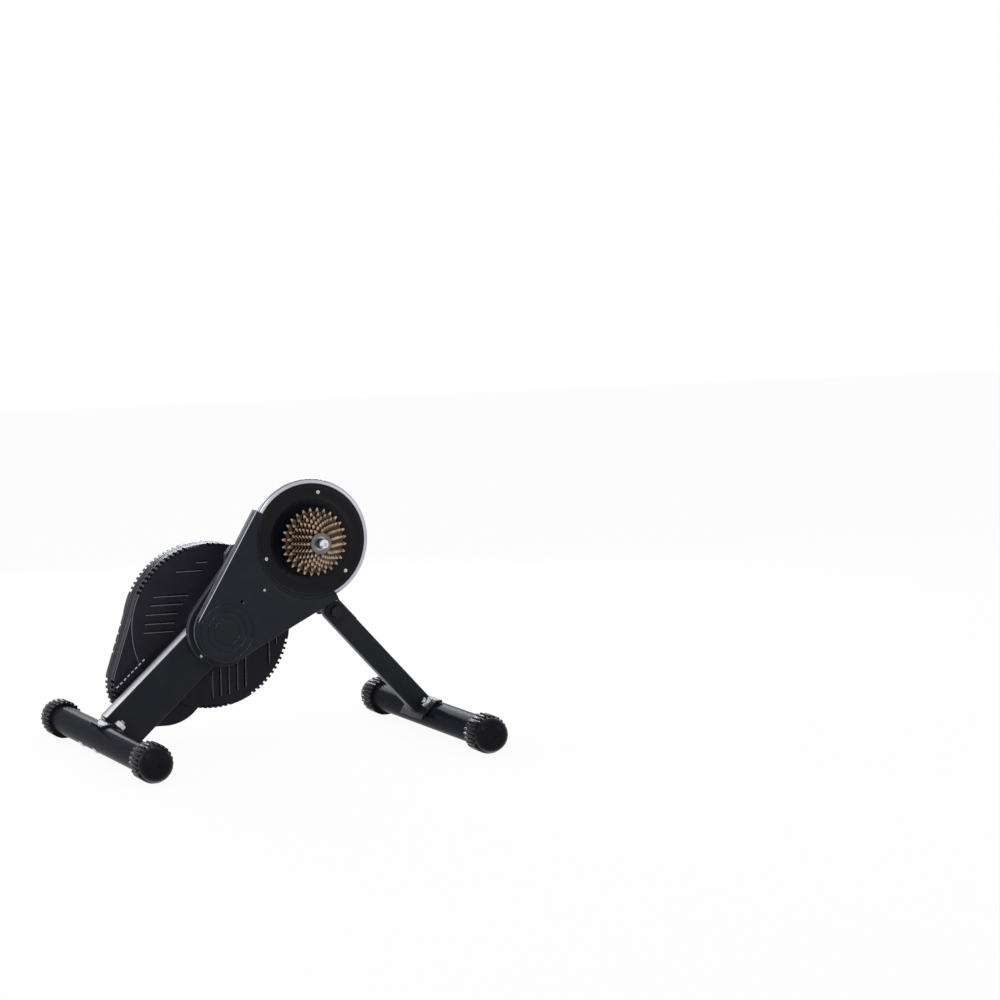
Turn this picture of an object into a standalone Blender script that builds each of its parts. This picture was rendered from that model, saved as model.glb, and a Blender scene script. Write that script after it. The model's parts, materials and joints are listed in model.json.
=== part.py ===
"""A folding direct-drive bicycle trainer: a leaning box beam on two cross tubes, a belt drive and a flywheel.

Metres, +Z up. +X points to the front of the bicycle and -Y is the side of the sprockets.
The origin is on the floor, in the middle of the four feet.
"""
import math

import bmesh
import bpy
from mathutils import Matrix, Vector

# General fits
GAP = 0.0003                # between two pieces that touch
RUN = 0.0004                # between a turning piece and what it turns on
OVERSHOOT = 0.002           # how far a cutter reaches past what it cuts

# Footprint
FOOT_SPACING = 0.6052       # between the two cross tubes
TUBE_RADIUS = 0.0254
TUBE_WALL = 0.0025
CAP_RADIUS = 0.0332         # also the height of the tubes' axes
CAP_GROOVE_RADIUS = 0.0306
CAP_PAD_RADIUS = 0.0335
CAP_RING = 0.0440           # ribbed length
CAP_DOME = 0.0240
REAR_CAP_EDGE = 0.2920      # from the centre plane to the ribbed ring's outer edge
FRONT_CAP_EDGE = 0.2740
CAP_SOCKET = 0.0300
CAP_PITCH = math.radians(15)
CAP_PAD_ANGLE = math.radians(100)

# Axle line, and the flywheel shaft below and behind it
AXLE_X = 0.0777
AXLE_Z = 0.3562
SHAFT_DISTANCE = 0.2195
LEAN = math.radians(42.5)   # of the main beam
AXLE_BORE = 0.0032
AXLE_RADIUS = 0.0085
AXLE_NEAR = -0.0598
AXLE_FAR = 0.0650
END_CAP_LENGTH = 0.0049
END_CAP_RADIUS = 0.0095
DROPOUT = 0.0070            # room for the bicycle frame's own dropout

# Main beam
BEAM_DEPTH = 0.076
BEAM_WIDTH = 0.038
BEAM_NEAR = 0.0141
BEAM_WALL = 0.0025
SADDLE_OFFSET = 0.030       # from a cross tube's axis to the end of the leg on it
BOSS_RADIUS = 0.016
BOSS_FLANGE = 0.0195
BOSS_FLANGE_THICK = 0.0042
BOSS_NOSE_RADIUS = 0.0125

# Front leg and its fold
LEG_ANGLE = math.radians(-47.7)
LEG_WIDTH = 0.038
LEG_THICK = 0.025
LEG_NEAR = -0.0113
LEG_WALL = 0.002
PIVOT_X = 0.1205
PIVOT_Z = 0.2292
STUB_BELOW = 0.0095         # from the leg's centre line to the stub's lower edge
STUB_ABOVE = 0.024
STUB_WALL = 0.003
STUB_TAIL = 0.046           # length of the stub past the pivot
PIVOT_BOLT_RADIUS = 0.006
PIVOT_HEAD = 0.019          # across flats
PIVOT_HEAD_THICK = 0.007
SPACER_TUBE_RADIUS = 0.0095 # stops the clamp from crushing the leg
STOP_DISTANCE = 0.030       # from the pivot to the pin that the open leg bears on
STOP_RADIUS = 0.005
STOP_REACH = 0.0045         # into the leg's far wall
STOP_HEAD_RADIUS = 0.008
STOP_HEAD_THICK = 0.0025
FOLD_NOTCH = math.radians(60)
CLAMP_WASHER_RADIUS = 0.012
CLAMP_WASHER_THICK = 0.0018
KNOB_RADIUS = 0.0140        # tips of the clamp knob's lobes
KNOB_VALLEY = 0.0112
KNOB_LOBES = 6
KNOB_COLLAR_RADIUS = 0.009
KNOB_COLLAR_LENGTH = 0.003
KNOB_THICK = 0.012

# Saddles that clamp the legs on the cross tubes
SADDLE_PLATE = 0.004
REAR_SADDLE_HALF = 0.0631
SADDLE_TAIL = 0.046         # from the tube's centre line down along the flat
SADDLE_OVER = math.radians(20)
HOOK_END = math.radians(119.5)
HOOK_LENGTH = 0.060
LIP_HEADING = math.radians(147.5)
LIP_LENGTH = 0.0197
FRONT_SADDLE_HALF = 0.0523
REAR_BOLT_SPACING = 0.0845
FRONT_BOLT_SPACING = 0.066
BOLT_RADIUS = 0.0049
BOLT_HEAD_RADIUS = 0.0085
BOLT_HEAD_THICK = 0.0022
NUT_FLATS = 0.017
NUT_THICK = 0.009
BOLT_END = 0.044            # from a tube's axis to its bolts' ends

# Round cover of the large pulley
DISC_NEAR = -0.0059
DISC_BACK = 0.0131
DISC_FACE_RADIUS = 0.1000
DISC_RIM_RADIUS = 0.1090
DISC_BACK_RADIUS = 0.1070
DISC_INNER_RADIUS = 0.1045
DISC_WALL = 0.0025
DISC_HOLE = 0.0235
RECESS_RADIUS = 0.0620
RECESS_DEPTH = 0.0012
DISC_SCREW_RADIUS = 0.0860
DISC_SCREW_ANGLES = (79, 199, 319)
SCREW_HOLE = 0.0026
SCREW_SINK = 0.0014

# Belt cover
COVER_NEAR = -0.0224
COVER_BACK = 0.0016
COVER_WALL = 0.0030
COVER_END_RADIUS = 0.0545   # round the flywheel shaft
COVER_TOP_RADIUS = 0.1130   # round the axle
COVER_INNER_RADIUS = 0.0920
COVER_CORNER_RADIUS = 0.1192
COVER_CORNER_ANGLE = math.radians(149.8)
COVER_TAIL_ANGLE = math.radians(294)
COVER_EDGE = 0.0022
FLANGE_RADIUS = 0.0635
FLANGE_THICK = 0.0026

# Back of the belt case
CASE_BACK_TOP = 0.1030      # round the axle, inside the round cover
CASE_BACK_FACE = 0.0138
CASE_BACK_PLATE = 0.0023
CASE_BACK_WALL = 0.0028
BUMP_FROM = 0.092           # the idler's bulge on the upper edge, from the axle along the beam
BUMP_LENGTH = 0.044
BUMP_RISE = 0.0095

# Belt drive
PULLEY_RADIUS = 0.0940
PULLEY_NEAR = -0.0019
PULLEY_FAR = 0.0111
PULLEY_RIM = 0.0080
PULLEY_WEB = 0.0060
PINION_RADIUS = 0.0180
BELT_THICK = 0.0030
BELT_WIDTH = 0.0100
IDLER_RADIUS = 0.0090
IDLER_ALONG = 0.1180        # from the axle along the beam
IDLER_PIN = 0.0030
HUB_RADIUS = 0.0200
HUB_BORE = 0.0150
HUB_NEAR = -0.0224
HUB_FLANGE = 0.0340
HUB_BEARING_INSET = 0.0010
BEARING_WIDTH = 0.0070

# Sprockets, smallest first
TEETH = (11, 13, 15, 17, 19, 21, 24, 28)
RIVETED = 3                 # the largest ones are one riveted block
CHAIN_PITCH = 0.0127
ROLLER_RADIUS = 0.00396
TOOTH_RISE = 0.0031         # tip above the pitch circle
COG_THICK = 0.00185
COG_STEP = 0.0048
COG_FIRST = -0.0596         # middle of the smallest
FREEHUB_RADIUS = 0.0165
FREEHUB_RIDGE = 0.0009
FREEHUB_RIDGES = 9
FREEHUB_NEAR = -0.0589
FREEHUB_FAR = -0.0231
SPACER_RADIUS = 0.0202
LOCKRING_RADIUS = 0.0160

# Skewer
SKEWER_RADIUS = 0.0025
SKEWER_NUT_RADIUS = 0.0085
SKEWER_NUT_LENGTH = 0.0120
CAM_CUP_RADIUS = 0.0090
CAM_CUP_LENGTH = 0.0140
CAM_RADIUS = 0.0050
CAM_HALF = 0.0110
LEVER_LENGTH = 0.0500
LEVER_THICK = 0.0036
LEVER_ANGLE = math.radians(60)

# Flywheel and its shaft
FLY_RADIUS = 0.1220
FLY_RIM = 0.0320
FLY_WEB = 0.0080
FLY_THICK = 0.0280
FLY_MIDDLE = 0.0966
FLY_BOSS_RADIUS = 0.0200
FLY_BOSS_REACH = 0.0050     # of its boss past the rim's near face
SHAFT_RADIUS = 0.0072
SHAFT_NEAR = -0.0029
SHAFT_FAR = 0.1146
SHAFT_BEARING_RADIUS = 0.0140
HOUSING_RADIUS = 0.0200
HOUSING_FLANGE = 0.0450
HOUSING_SPIGOT = 0.0240
HOUSING_INSET = 0.0020      # of the bearings from its ends

# Flywheel casing
CASE_RADIUS = 0.1460
CASE_NEAR = 0.0666          # raised round face
CASE_SHOULDER = 0.0040      # the lobe's face lies this much lower
CASE_HALF = 0.0290
CASE_WALL = 0.0030
LOBE_DISTANCE = 0.1410
LOBE_RADIUS = 0.0770
LOBE_FLAT = 0.0190          # level bottom between the lobe's two arcs
VENT_WIDTH = 0.0024
SIDE_VENTS = ((-0.1880, -0.1246, 0.2667), (-0.1933, -0.1348, 0.2520), (-0.2033, -0.1449, 0.2361),
              (-0.2055, -0.1510, 0.2199), (-0.2079, -0.1530, 0.2049), (-0.1095, -0.0890, 0.3230),
              (-0.1466, -0.0989, 0.3087))
LOW_VENTS = ((-0.0858, 0.0799, 0.1278), (-0.0707, 0.0824, 0.1338), (-0.0555, 0.0849, 0.1400),
             (-0.0395, 0.0909, 0.1460), (-0.0243, 0.0951, 0.1520), (0.0201, 0.1348, 0.1760),
             (0.0340, 0.1678, 0.1800))

# Brake, board and port block inside or on the lobe; along and across are measured in the beam's frame from the shaft
YOKE_INNER = 0.0980
YOKE_OUTER = 0.1340
YOKE_HALF_ANGLE = math.radians(21)
YOKE_HALF_WIDTH = 0.0200
RIM_CLEARANCE = 0.0020
MOTOR_ALONG = (0.1580, 0.1980)
MOTOR_SIDE = 0.0420
SCREW_RADIUS = 0.0030
SCREW_INTO_YOKE = 0.0015
BOARD_ALONG = (0.0600, 0.1050)
BOARD_ACROSS = (-0.0850, -0.0500)
BOARD_THICK = 0.0016
BLOCK_ALONG = (0.1250, 0.1980)
BLOCK_ACROSS = (0.0310, 0.0500)
BLOCK_HEIGHT = 0.0120
BLOCK_SLOTS = 7
BLOCK_END = 0.0060          # plain ends of the port block
BLOCK_SLOT_DEPTH = 0.0040
INLET_RADIUS = 0.0050
INLET_BORE = 0.0030
INLET_LENGTH = 0.0120

# Worked out from the sizes above
AXLE = Vector((AXLE_X, 0, AXLE_Z))
UP_BEAM = Vector((math.cos(LEAN), 0, math.sin(LEAN)))
ACROSS_BEAM = Vector((-math.sin(LEAN), 0, math.cos(LEAN)))
DOWN_LEG = Vector((math.cos(LEG_ANGLE), 0, math.sin(LEG_ANGLE)))
SHAFT = AXLE - SHAFT_DISTANCE * UP_BEAM
LOBE = SHAFT - LOBE_DISTANCE * UP_BEAM
PIVOT = Vector((PIVOT_X, 0, PIVOT_Z))
STOP = PIVOT + STOP_DISTANCE * DOWN_LEG
REAR_FOOT = Vector((-FOOT_SPACING / 2, 0, CAP_RADIUS))
FRONT_FOOT = Vector((FOOT_SPACING / 2, 0, CAP_RADIUS))
BEAM_FAR = BEAM_NEAR + BEAM_WIDTH
BEAM_MIDDLE = BEAM_NEAR + BEAM_WIDTH / 2
LEG_FAR = LEG_NEAR + LEG_THICK
LEG_MIDDLE = LEG_NEAR + LEG_THICK / 2
CASE_SEAM = CASE_NEAR + CASE_HALF

for old in list(bpy.data.objects):
    bpy.data.objects.remove(old, do_unlink=True)

parts = bpy.data.collections.new("bike_trainer")
cutters = bpy.data.collections.new("cutters")
for collection in (parts, cutters):
    bpy.context.scene.collection.children.link(collection)


def paint(name, colour, roughness, metallic=0.0):
    """A plain material."""
    material = bpy.data.materials.new(name)
    material.use_nodes = True
    shader = material.node_tree.nodes["Principled BSDF"]
    shader.inputs["Base Color"].default_value = (*colour, 1)
    shader.inputs["Roughness"].default_value = roughness
    shader.inputs["Metallic"].default_value = metallic
    return material


SATIN_BLACK = paint("satin_black_paint", (0.012, 0.012, 0.014), 0.42)
GLOSS_BLACK = paint("gloss_black_paint", (0.015, 0.016, 0.019), 0.28)
BLACK_PLASTIC = paint("black_plastic", (0.018, 0.018, 0.020), 0.48)
CASE_PLASTIC = paint("case_plastic", (0.020, 0.020, 0.022), 0.55)
BLACK_RUBBER = paint("black_rubber", (0.014, 0.014, 0.015), 0.60)
ZINC = paint("zinc_steel", (0.62, 0.62, 0.60), 0.30, 1.0)
OXIDE = paint("black_oxide", (0.03, 0.03, 0.033), 0.40, 1.0)
STEEL = paint("steel", (0.45, 0.45, 0.46), 0.35, 1.0)
CAST_IRON = paint("cast_iron", (0.10, 0.10, 0.11), 0.55, 1.0)
ALUMINIUM = paint("aluminium", (0.70, 0.70, 0.71), 0.35, 1.0)
SPROCKET_STEEL = paint("sprocket_steel", (0.27, 0.20, 0.13), 0.42, 1.0)
BELT_RUBBER = paint("belt_rubber", (0.010, 0.010, 0.010), 0.70)
BOARD_GREEN = paint("board", (0.02, 0.12, 0.05), 0.50)


def frame(origin, along, cross=None):
    """A matrix whose local Z lies along the given direction and whose local X is the cross direction."""
    z = Vector(along).normalized()
    x = Vector(cross) if cross else Vector((1, 0, 0))
    x = (x - x.dot(z) * z).normalized()
    y = z.cross(x)
    turned_axes = Matrix((x, y, z)).transposed().to_4x4()
    return Matrix.Translation(origin) @ turned_axes


def sideways(origin):
    """The frame of a piece drawn in the XZ plane: local X is +X, local Y is +Z and local Z is -Y."""
    return frame(origin, (0, -1, 0))


def settle(thing, matrix, material, collection):
    """Puts a new object in its collection, at its place and with its material."""
    collection.objects.link(thing)
    thing.matrix_world = matrix
    thing.data.materials.append(material)
    if collection is cutters:
        thing.hide_render = True
        thing.display_type = "WIRE"
    return thing


def plate(name, outlines, low, high, matrix, material=SATIN_BLACK, edge=0.0, collection=parts):
    """A flat outline, with any holes after it, made thick from low to high along the matrix's local Z."""
    curve = bpy.data.curves.new(name, "CURVE")
    curve.dimensions = "2D"
    curve.fill_mode = "BOTH"
    curve.extrude = (high - low) / 2 - edge
    curve.bevel_depth = edge
    curve.bevel_resolution = 0
    curve.offset = -edge
    for outline in outlines:
        spline = curve.splines.new("POLY")
        spline.points.add(len(outline) - 1)
        spline.use_cyclic_u = True
        for point, (x, y) in zip(spline.points, outline):
            point.co = (x, y, 0, 1)
    drawn = bpy.data.objects.new(name + "_outline", curve)
    bpy.context.scene.collection.objects.link(drawn)
    reader = bpy.context.evaluated_depsgraph_get()
    mesh = bpy.data.meshes.new_from_object(drawn.evaluated_get(reader))
    bpy.data.objects.remove(drawn, do_unlink=True)
    mesh.name = name
    welded = bmesh.new()
    welded.from_mesh(mesh)
    bmesh.ops.remove_doubles(welded, verts=welded.verts, dist=0.00001)
    bmesh.ops.translate(welded, verts=welded.verts, vec=(0, 0, (low + high) / 2))
    bmesh.ops.recalc_face_normals(welded, faces=welded.faces)
    welded.to_mesh(mesh)
    welded.free()
    mesh.shade_smooth()
    mesh.set_sharp_from_angle(angle=math.radians(32))
    mesh.materials.clear()
    return settle(bpy.data.objects.new(name, mesh), matrix, material, collection)


def side_plate(name, outlines, near, far, origin=(0, 0, 0), material=SATIN_BLACK, edge=0.0, collection=parts):
    """A plate drawn in world X and Z, whose origin is the given point, between two values of Y."""
    place = Vector(origin)
    local = [[(x - place.x, z - place.z) for x, z in outline] for outline in outlines]
    return plate(name, local, -far, -near, sideways((place.x, 0, place.z)), material, edge, collection)


def turned(name, profile, matrix, material=STEEL, steps=32, closed=False, collection=parts):
    """A turned piece: points (radius, height) down its outer side, turned round the matrix's local Z."""
    mesh = bpy.data.meshes.new(name)
    count = len(profile)
    links = [(i, i + 1) for i in range(count - 1)]
    if closed:
        links.append((count - 1, 0))
    mesh.from_pydata([(radius, 0, height) for radius, height in profile], links, [])
    piece = settle(bpy.data.objects.new(name, mesh), matrix, material, collection)
    turn = piece.modifiers.new("turn", "SCREW")
    turn.steps = steps
    turn.render_steps = steps
    turn.use_merge_vertices = True
    turn.merge_threshold = 0.00001
    turn.use_smooth_shade = True
    return piece


def ring(name, outer, inner, near, far, centre, material=STEEL, steps=32, collection=parts):
    """A plain ring round a line along Y, between two values of Y."""
    profile = [(outer, far), (outer, near), (inner, near), (inner, far)]
    return turned(name, profile, round_y(centre), material, steps, True, collection)


def round_y(centre):
    """The frame of a piece turned round a line along +Y."""
    return frame((centre.x, 0, centre.z), (0, 1, 0))


def block(name, size, matrix, material=SATIN_BLACK, collection=parts):
    """A box of a size, centred on the matrix."""
    mesh = bpy.data.meshes.new(name)
    shape = bmesh.new()
    bmesh.ops.create_cube(shape, size=1)
    bmesh.ops.scale(shape, vec=size, verts=shape.verts)
    shape.to_mesh(mesh)
    shape.free()
    return settle(bpy.data.objects.new(name, mesh), matrix, material, collection)


def blocks(name, boxes, collection=cutters):
    """Separate boxes in one cutter, each a size and a matrix."""
    mesh = bpy.data.meshes.new(name)
    shape = bmesh.new()
    for size, matrix in boxes:
        made = bmesh.ops.create_cube(shape, size=1)
        bmesh.ops.scale(shape, vec=size, verts=made["verts"])
        bmesh.ops.transform(shape, matrix=matrix, verts=made["verts"])
    shape.to_mesh(mesh)
    shape.free()
    return settle(bpy.data.objects.new(name, mesh), Matrix.Identity(4), STEEL, collection)


def rod(name, radius, low, high, matrix, material=STEEL, steps=24, collection=parts):
    """A solid round rod along the matrix's local Z."""
    profile = [(0, high), (radius, high), (radius, low), (0, low)]
    return turned(name, profile, matrix, material, steps, False, collection)


def bore(name, radius, low, high, matrix, steps=20):
    """The cutter of a round hole, whose flats stand clear of the radius."""
    return rod(name, radius / math.cos(math.pi / steps), low, high, matrix, steps=steps, collection=cutters)


def combine(piece, tool, operation):
    """Cuts a piece by a cutter, or joins one to it."""
    step = piece.modifiers.new(tool.name, "BOOLEAN")
    step.operation = operation
    step.solver = "EXACT"
    step.object = tool
    return piece


def cut(piece, *tools):
    """Cuts a piece by each cutter in turn."""
    for tool in tools:
        combine(piece, tool, "DIFFERENCE")
    return piece


def join(piece, *tools):
    """Joins each tool to a piece in turn."""
    for tool in tools:
        combine(piece, tool, "UNION")
    return piece


def arc(centre, radius, start, end, count):
    """Points on an arc in X and Z from one angle to another, both ends included."""
    turn = [start + (end - start) * i / (count - 1) for i in range(count)]
    return [(centre.x + radius * math.cos(a), centre.z + radius * math.sin(a)) for a in turn]


def circle(centre, radius, count=32):
    return arc(centre, radius, 0, 2 * math.pi * (count - 1) / count, count)


def two_circles(big, big_radius, small, small_radius, big_count=34, small_count=16):
    """The outline round two circles and their outer tangents."""
    way = small - big
    heading = math.atan2(way.z, way.x)
    spread = math.acos((big_radius - small_radius) / way.length)
    far_side = arc(big, big_radius, heading + spread, heading + 2 * math.pi - spread, big_count)
    near_side = arc(small, small_radius, heading - spread, heading + spread, small_count)
    return far_side + near_side


def hexagon(flats):
    return [(flats / math.sqrt(3) * math.cos(a), flats / math.sqrt(3) * math.sin(a))
            for a in (math.radians(60 * i + 30) for i in range(6))]


def flat_circle(radius, count=20):
    return circle(Vector((0, 0, 0)), radius, count)


def on_beam(origin, along, across, y):
    """A point from an origin, measured down the beam and up across it."""
    place = origin - along * UP_BEAM + across * ACROSS_BEAM
    return Vector((place.x, y, place.z))


def beam_frame(origin, along, across, y):
    """A frame with local X down the beam, local Y across it upwards and local Z along -Y or +Y."""
    return frame(on_beam(origin, along, across, y), UP_BEAM.cross(ACROSS_BEAM) * -1, UP_BEAM * -1)


fold = bpy.data.objects.new("fold_axis", None)
parts.objects.link(fold)
fold.location = PIVOT


def carry(*pieces):
    """Hangs pieces on the folding leg's axis."""
    for piece in pieces:
        piece.parent = fold
        piece.matrix_parent_inverse = Matrix.Translation(-PIVOT)
    return pieces[0]


# Main beam

def make_main_beam():
    rear_end = (AXLE - REAR_FOOT).dot(UP_BEAM) - SADDLE_OFFSET
    half = BEAM_DEPTH / 2

    def outline(inset, length):
        lower = AXLE - length * UP_BEAM
        side = (half - inset) * ACROSS_BEAM
        head = arc(AXLE, half - inset, LEAN - math.pi / 2, LEAN + math.pi / 2, 13)
        return head + [((lower + side).x, (lower + side).z), ((lower - side).x, (lower - side).z)]

    beam = side_plate("main_beam", [outline(0, rear_end)], BEAM_NEAR, BEAM_FAR)
    hollow = side_plate("beam_hollow", [outline(BEAM_WALL, rear_end + OVERSHOOT)], BEAM_NEAR + BEAM_WALL,
                        BEAM_FAR - BEAM_WALL, collection=cutters)
    past = (BEAM_NEAR - OVERSHOOT, BEAM_FAR + OVERSHOOT)
    axle_hole = bore("beam_axle_hole", BOSS_RADIUS + GAP, *past, round_y(AXLE))
    shaft_hole = bore("beam_shaft_hole", HOUSING_RADIUS + GAP, *past, round_y(SHAFT))
    return cut(beam, hollow, axle_hole, shaft_hole)


# Folding front leg, with the stub that carries it

def leg_point(along, above):
    """A point in X and Z, measured from the pivot down the leg and square to it."""
    place = PIVOT + along * DOWN_LEG + above * Vector((-DOWN_LEG.z, 0, DOWN_LEG.x))
    return place.x, place.z


def leg_outline(width, end):
    """A bar down the leg's direction from the pivot, round at its top."""
    foot = [leg_point(end, -width / 2), leg_point(end, width / 2)]
    return foot + arc(PIVOT, width / 2, LEG_ANGLE + math.pi / 2, LEG_ANGLE + 3 * math.pi / 2, 11)


def stub_outline(start, end, inset):
    """A bar under the beam, in line with the leg."""
    below = inset - STUB_BELOW
    above = STUB_ABOVE - inset
    return [leg_point(end, below), leg_point(end, above), leg_point(start, above), leg_point(start, below)]


def make_front_leg():
    length = (FRONT_FOOT - PIVOT).dot(DOWN_LEG) - SADDLE_OFFSET
    leg = side_plate("front_leg", [leg_outline(LEG_WIDTH, length)], LEG_NEAR, LEG_FAR, PIVOT)
    hollow = side_plate("leg_hollow", [leg_outline(LEG_WIDTH - 2 * LEG_WALL, length + OVERSHOOT)],
                        LEG_NEAR + LEG_WALL, LEG_FAR - LEG_WALL, PIVOT, collection=cutters)
    past = (LEG_NEAR - OVERSHOOT, LEG_FAR + OVERSHOOT)
    pivot_hole = bore("leg_pivot_hole", PIVOT_BOLT_RADIUS + GAP, *past, round_y(PIVOT))
    room = STOP_RADIUS + GAP
    slot = arc(PIVOT, STOP_DISTANCE + room, LEG_ANGLE, LEG_ANGLE + FOLD_NOTCH, 8)
    slot += arc(PIVOT, STOP_DISTANCE - room, LEG_ANGLE + FOLD_NOTCH, LEG_ANGLE, 8)
    slot += arc(STOP, room, LEG_ANGLE + math.pi, LEG_ANGLE + 2 * math.pi, 9)[1:-1]
    notch = side_plate("leg_notch", [slot], LEG_FAR - STOP_REACH - GAP, past[1], PIVOT, collection=cutters)
    return cut(leg, hollow, pivot_hole, notch)


def make_leg_stub():
    near = BEAM_NEAR + GAP
    far = BEAM_FAR - GAP
    reach = (AXLE - PIVOT).dot(ACROSS_BEAM) - BEAM_DEPTH / 2 - GAP
    outline = stub_outline(-reach, STUB_TAIL, 0)
    inside = stub_outline(-reach - OVERSHOOT, STUB_TAIL + OVERSHOOT, STUB_WALL)
    stub = side_plate("leg_stub", [outline], near, far)
    hollow = side_plate("stub_hollow", [inside], near + STUB_WALL, far - STUB_WALL, collection=cutters)
    past = (near - OVERSHOOT, far + OVERSHOOT)
    pivot_hole = bore("stub_pivot_hole", PIVOT_BOLT_RADIUS + GAP, *past, round_y(PIVOT))
    stop_hole = bore("stub_stop_hole", STOP_RADIUS + GAP, *past, round_y(STOP))
    return cut(stub, hollow, pivot_hole, stop_hole)


def knob_outline():
    """Rounded lobes round the clamp knob."""
    points = []
    count = 6 * KNOB_LOBES
    for i in range(count):
        turn = 2 * math.pi * i / count
        radius = (KNOB_RADIUS + KNOB_VALLEY) / 2 + (KNOB_RADIUS - KNOB_VALLEY) / 2 * math.cos(KNOB_LOBES * turn)
        points.append((radius * math.cos(turn), radius * math.sin(turn)))
    return points


def make_fold_joint():
    """The bolt that the leg turns on, the spacer tube inside the leg, and the washer and hand knob that clamp it."""
    head_face = LEG_NEAR - GAP
    washer_near = BEAM_FAR
    washer_far = washer_near + CLAMP_WASHER_THICK
    collar_face = washer_far + GAP
    bolt_end = collar_face + KNOB_COLLAR_LENGTH + KNOB_THICK / 2
    bolt = rod("pivot_bolt", PIVOT_BOLT_RADIUS, head_face - PIVOT_HEAD_THICK / 2, bolt_end, round_y(PIVOT), OXIDE, 18)
    head = plate("pivot_bolt_head", [hexagon(PIVOT_HEAD)], head_face - PIVOT_HEAD_THICK, head_face,
                 round_y(PIVOT), OXIDE, collection=cutters)
    join(bolt, head)
    carry(ring("pivot_spacer", SPACER_TUBE_RADIUS, PIVOT_BOLT_RADIUS + GAP, LEG_NEAR + LEG_WALL + GAP,
               LEG_FAR - LEG_WALL - GAP, PIVOT, STEEL, 18))
    ring("clamp_washer", CLAMP_WASHER_RADIUS, PIVOT_BOLT_RADIUS + GAP, washer_near, washer_far, PIVOT, ZINC, 18)
    lobes_near = collar_face + KNOB_COLLAR_LENGTH
    knob = plate("clamp_knob", [knob_outline()], lobes_near, lobes_near + KNOB_THICK, round_y(PIVOT),
                 BLACK_PLASTIC, edge=0.0015)
    collar = rod("knob_collar", KNOB_COLLAR_RADIUS, collar_face, lobes_near + KNOB_THICK / 3, round_y(PIVOT),
                 steps=18, collection=cutters)
    hole = bore("knob_hole", PIVOT_BOLT_RADIUS + GAP, collar_face - OVERSHOOT, bolt_end + GAP, round_y(PIVOT),
                steps=18)
    cut(join(knob, collar), hole)
    head_near = BEAM_FAR
    turned("stop_pin", [
        (0, head_near + STOP_HEAD_THICK), (STOP_HEAD_RADIUS, head_near + STOP_HEAD_THICK),
        (STOP_HEAD_RADIUS, head_near), (STOP_RADIUS, head_near), (STOP_RADIUS, LEG_FAR - STOP_REACH),
        (0, LEG_FAR - STOP_REACH),
    ], round_y(STOP), OXIDE, 18)


# Cross tubes, saddles, bolts and feet

def make_cross_tube(name, centre, cap_edge, bolt_direction, bolt_middle, bolt_spacing):
    end = cap_edge - CAP_RING + CAP_SOCKET - GAP
    tube = ring(name, TUBE_RADIUS, TUBE_RADIUS - TUBE_WALL, -end, end, centre, GLOSS_BLACK, 24)
    holes = []
    for side in (-1, 1):
        place = Vector((centre.x, bolt_middle + side * bolt_spacing / 2, centre.z))
        holes.append(bore(f"{name}_hole_{side}", BOLT_RADIUS + GAP, -TUBE_RADIUS - OVERSHOOT,
                         TUBE_RADIUS + OVERSHOOT, frame(place, bolt_direction), steps=12))
    return cut(tube, *holes)


def make_bolts(prefix, centre, direction, middle, spacing):
    """The two carriage bolts of a saddle, each with its nut."""
    made = []
    for side, label in ((-1, "near"), (1, "far")):
        matrix = frame((centre.x, middle + side * spacing / 2, centre.z), direction)
        head_face = -TUBE_RADIUS - GAP
        made.append(turned(f"{prefix}_bolt_{label}", [
            (0, BOLT_END), (BOLT_RADIUS - 0.001, BOLT_END), (BOLT_RADIUS, BOLT_END - 0.001),
            (BOLT_RADIUS, head_face), (BOLT_HEAD_RADIUS, head_face),
            (BOLT_HEAD_RADIUS * 0.8, head_face - BOLT_HEAD_THICK * 0.7), (0, head_face - BOLT_HEAD_THICK),
        ], matrix, ZINC, 12))
        seat = SADDLE_OFFSET
        made.append(plate(f"{prefix}_nut_{label}", [hexagon(NUT_FLATS), flat_circle(BOLT_RADIUS + GAP, 12)],
                          seat, seat + NUT_THICK, matrix, ZINC))
    return made


def bolt_hole_cutters(prefix, centre, direction, middle, spacing):
    made = []
    for side in (-1, 1):
        matrix = frame((centre.x, middle + side * spacing / 2, centre.z), direction)
        made.append(bore(f"{prefix}_saddle_hole_{side}", BOLT_RADIUS + GAP, TUBE_RADIUS / 2,
                        SADDLE_OFFSET + OVERSHOOT, matrix, steps=12))
    return made


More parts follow.
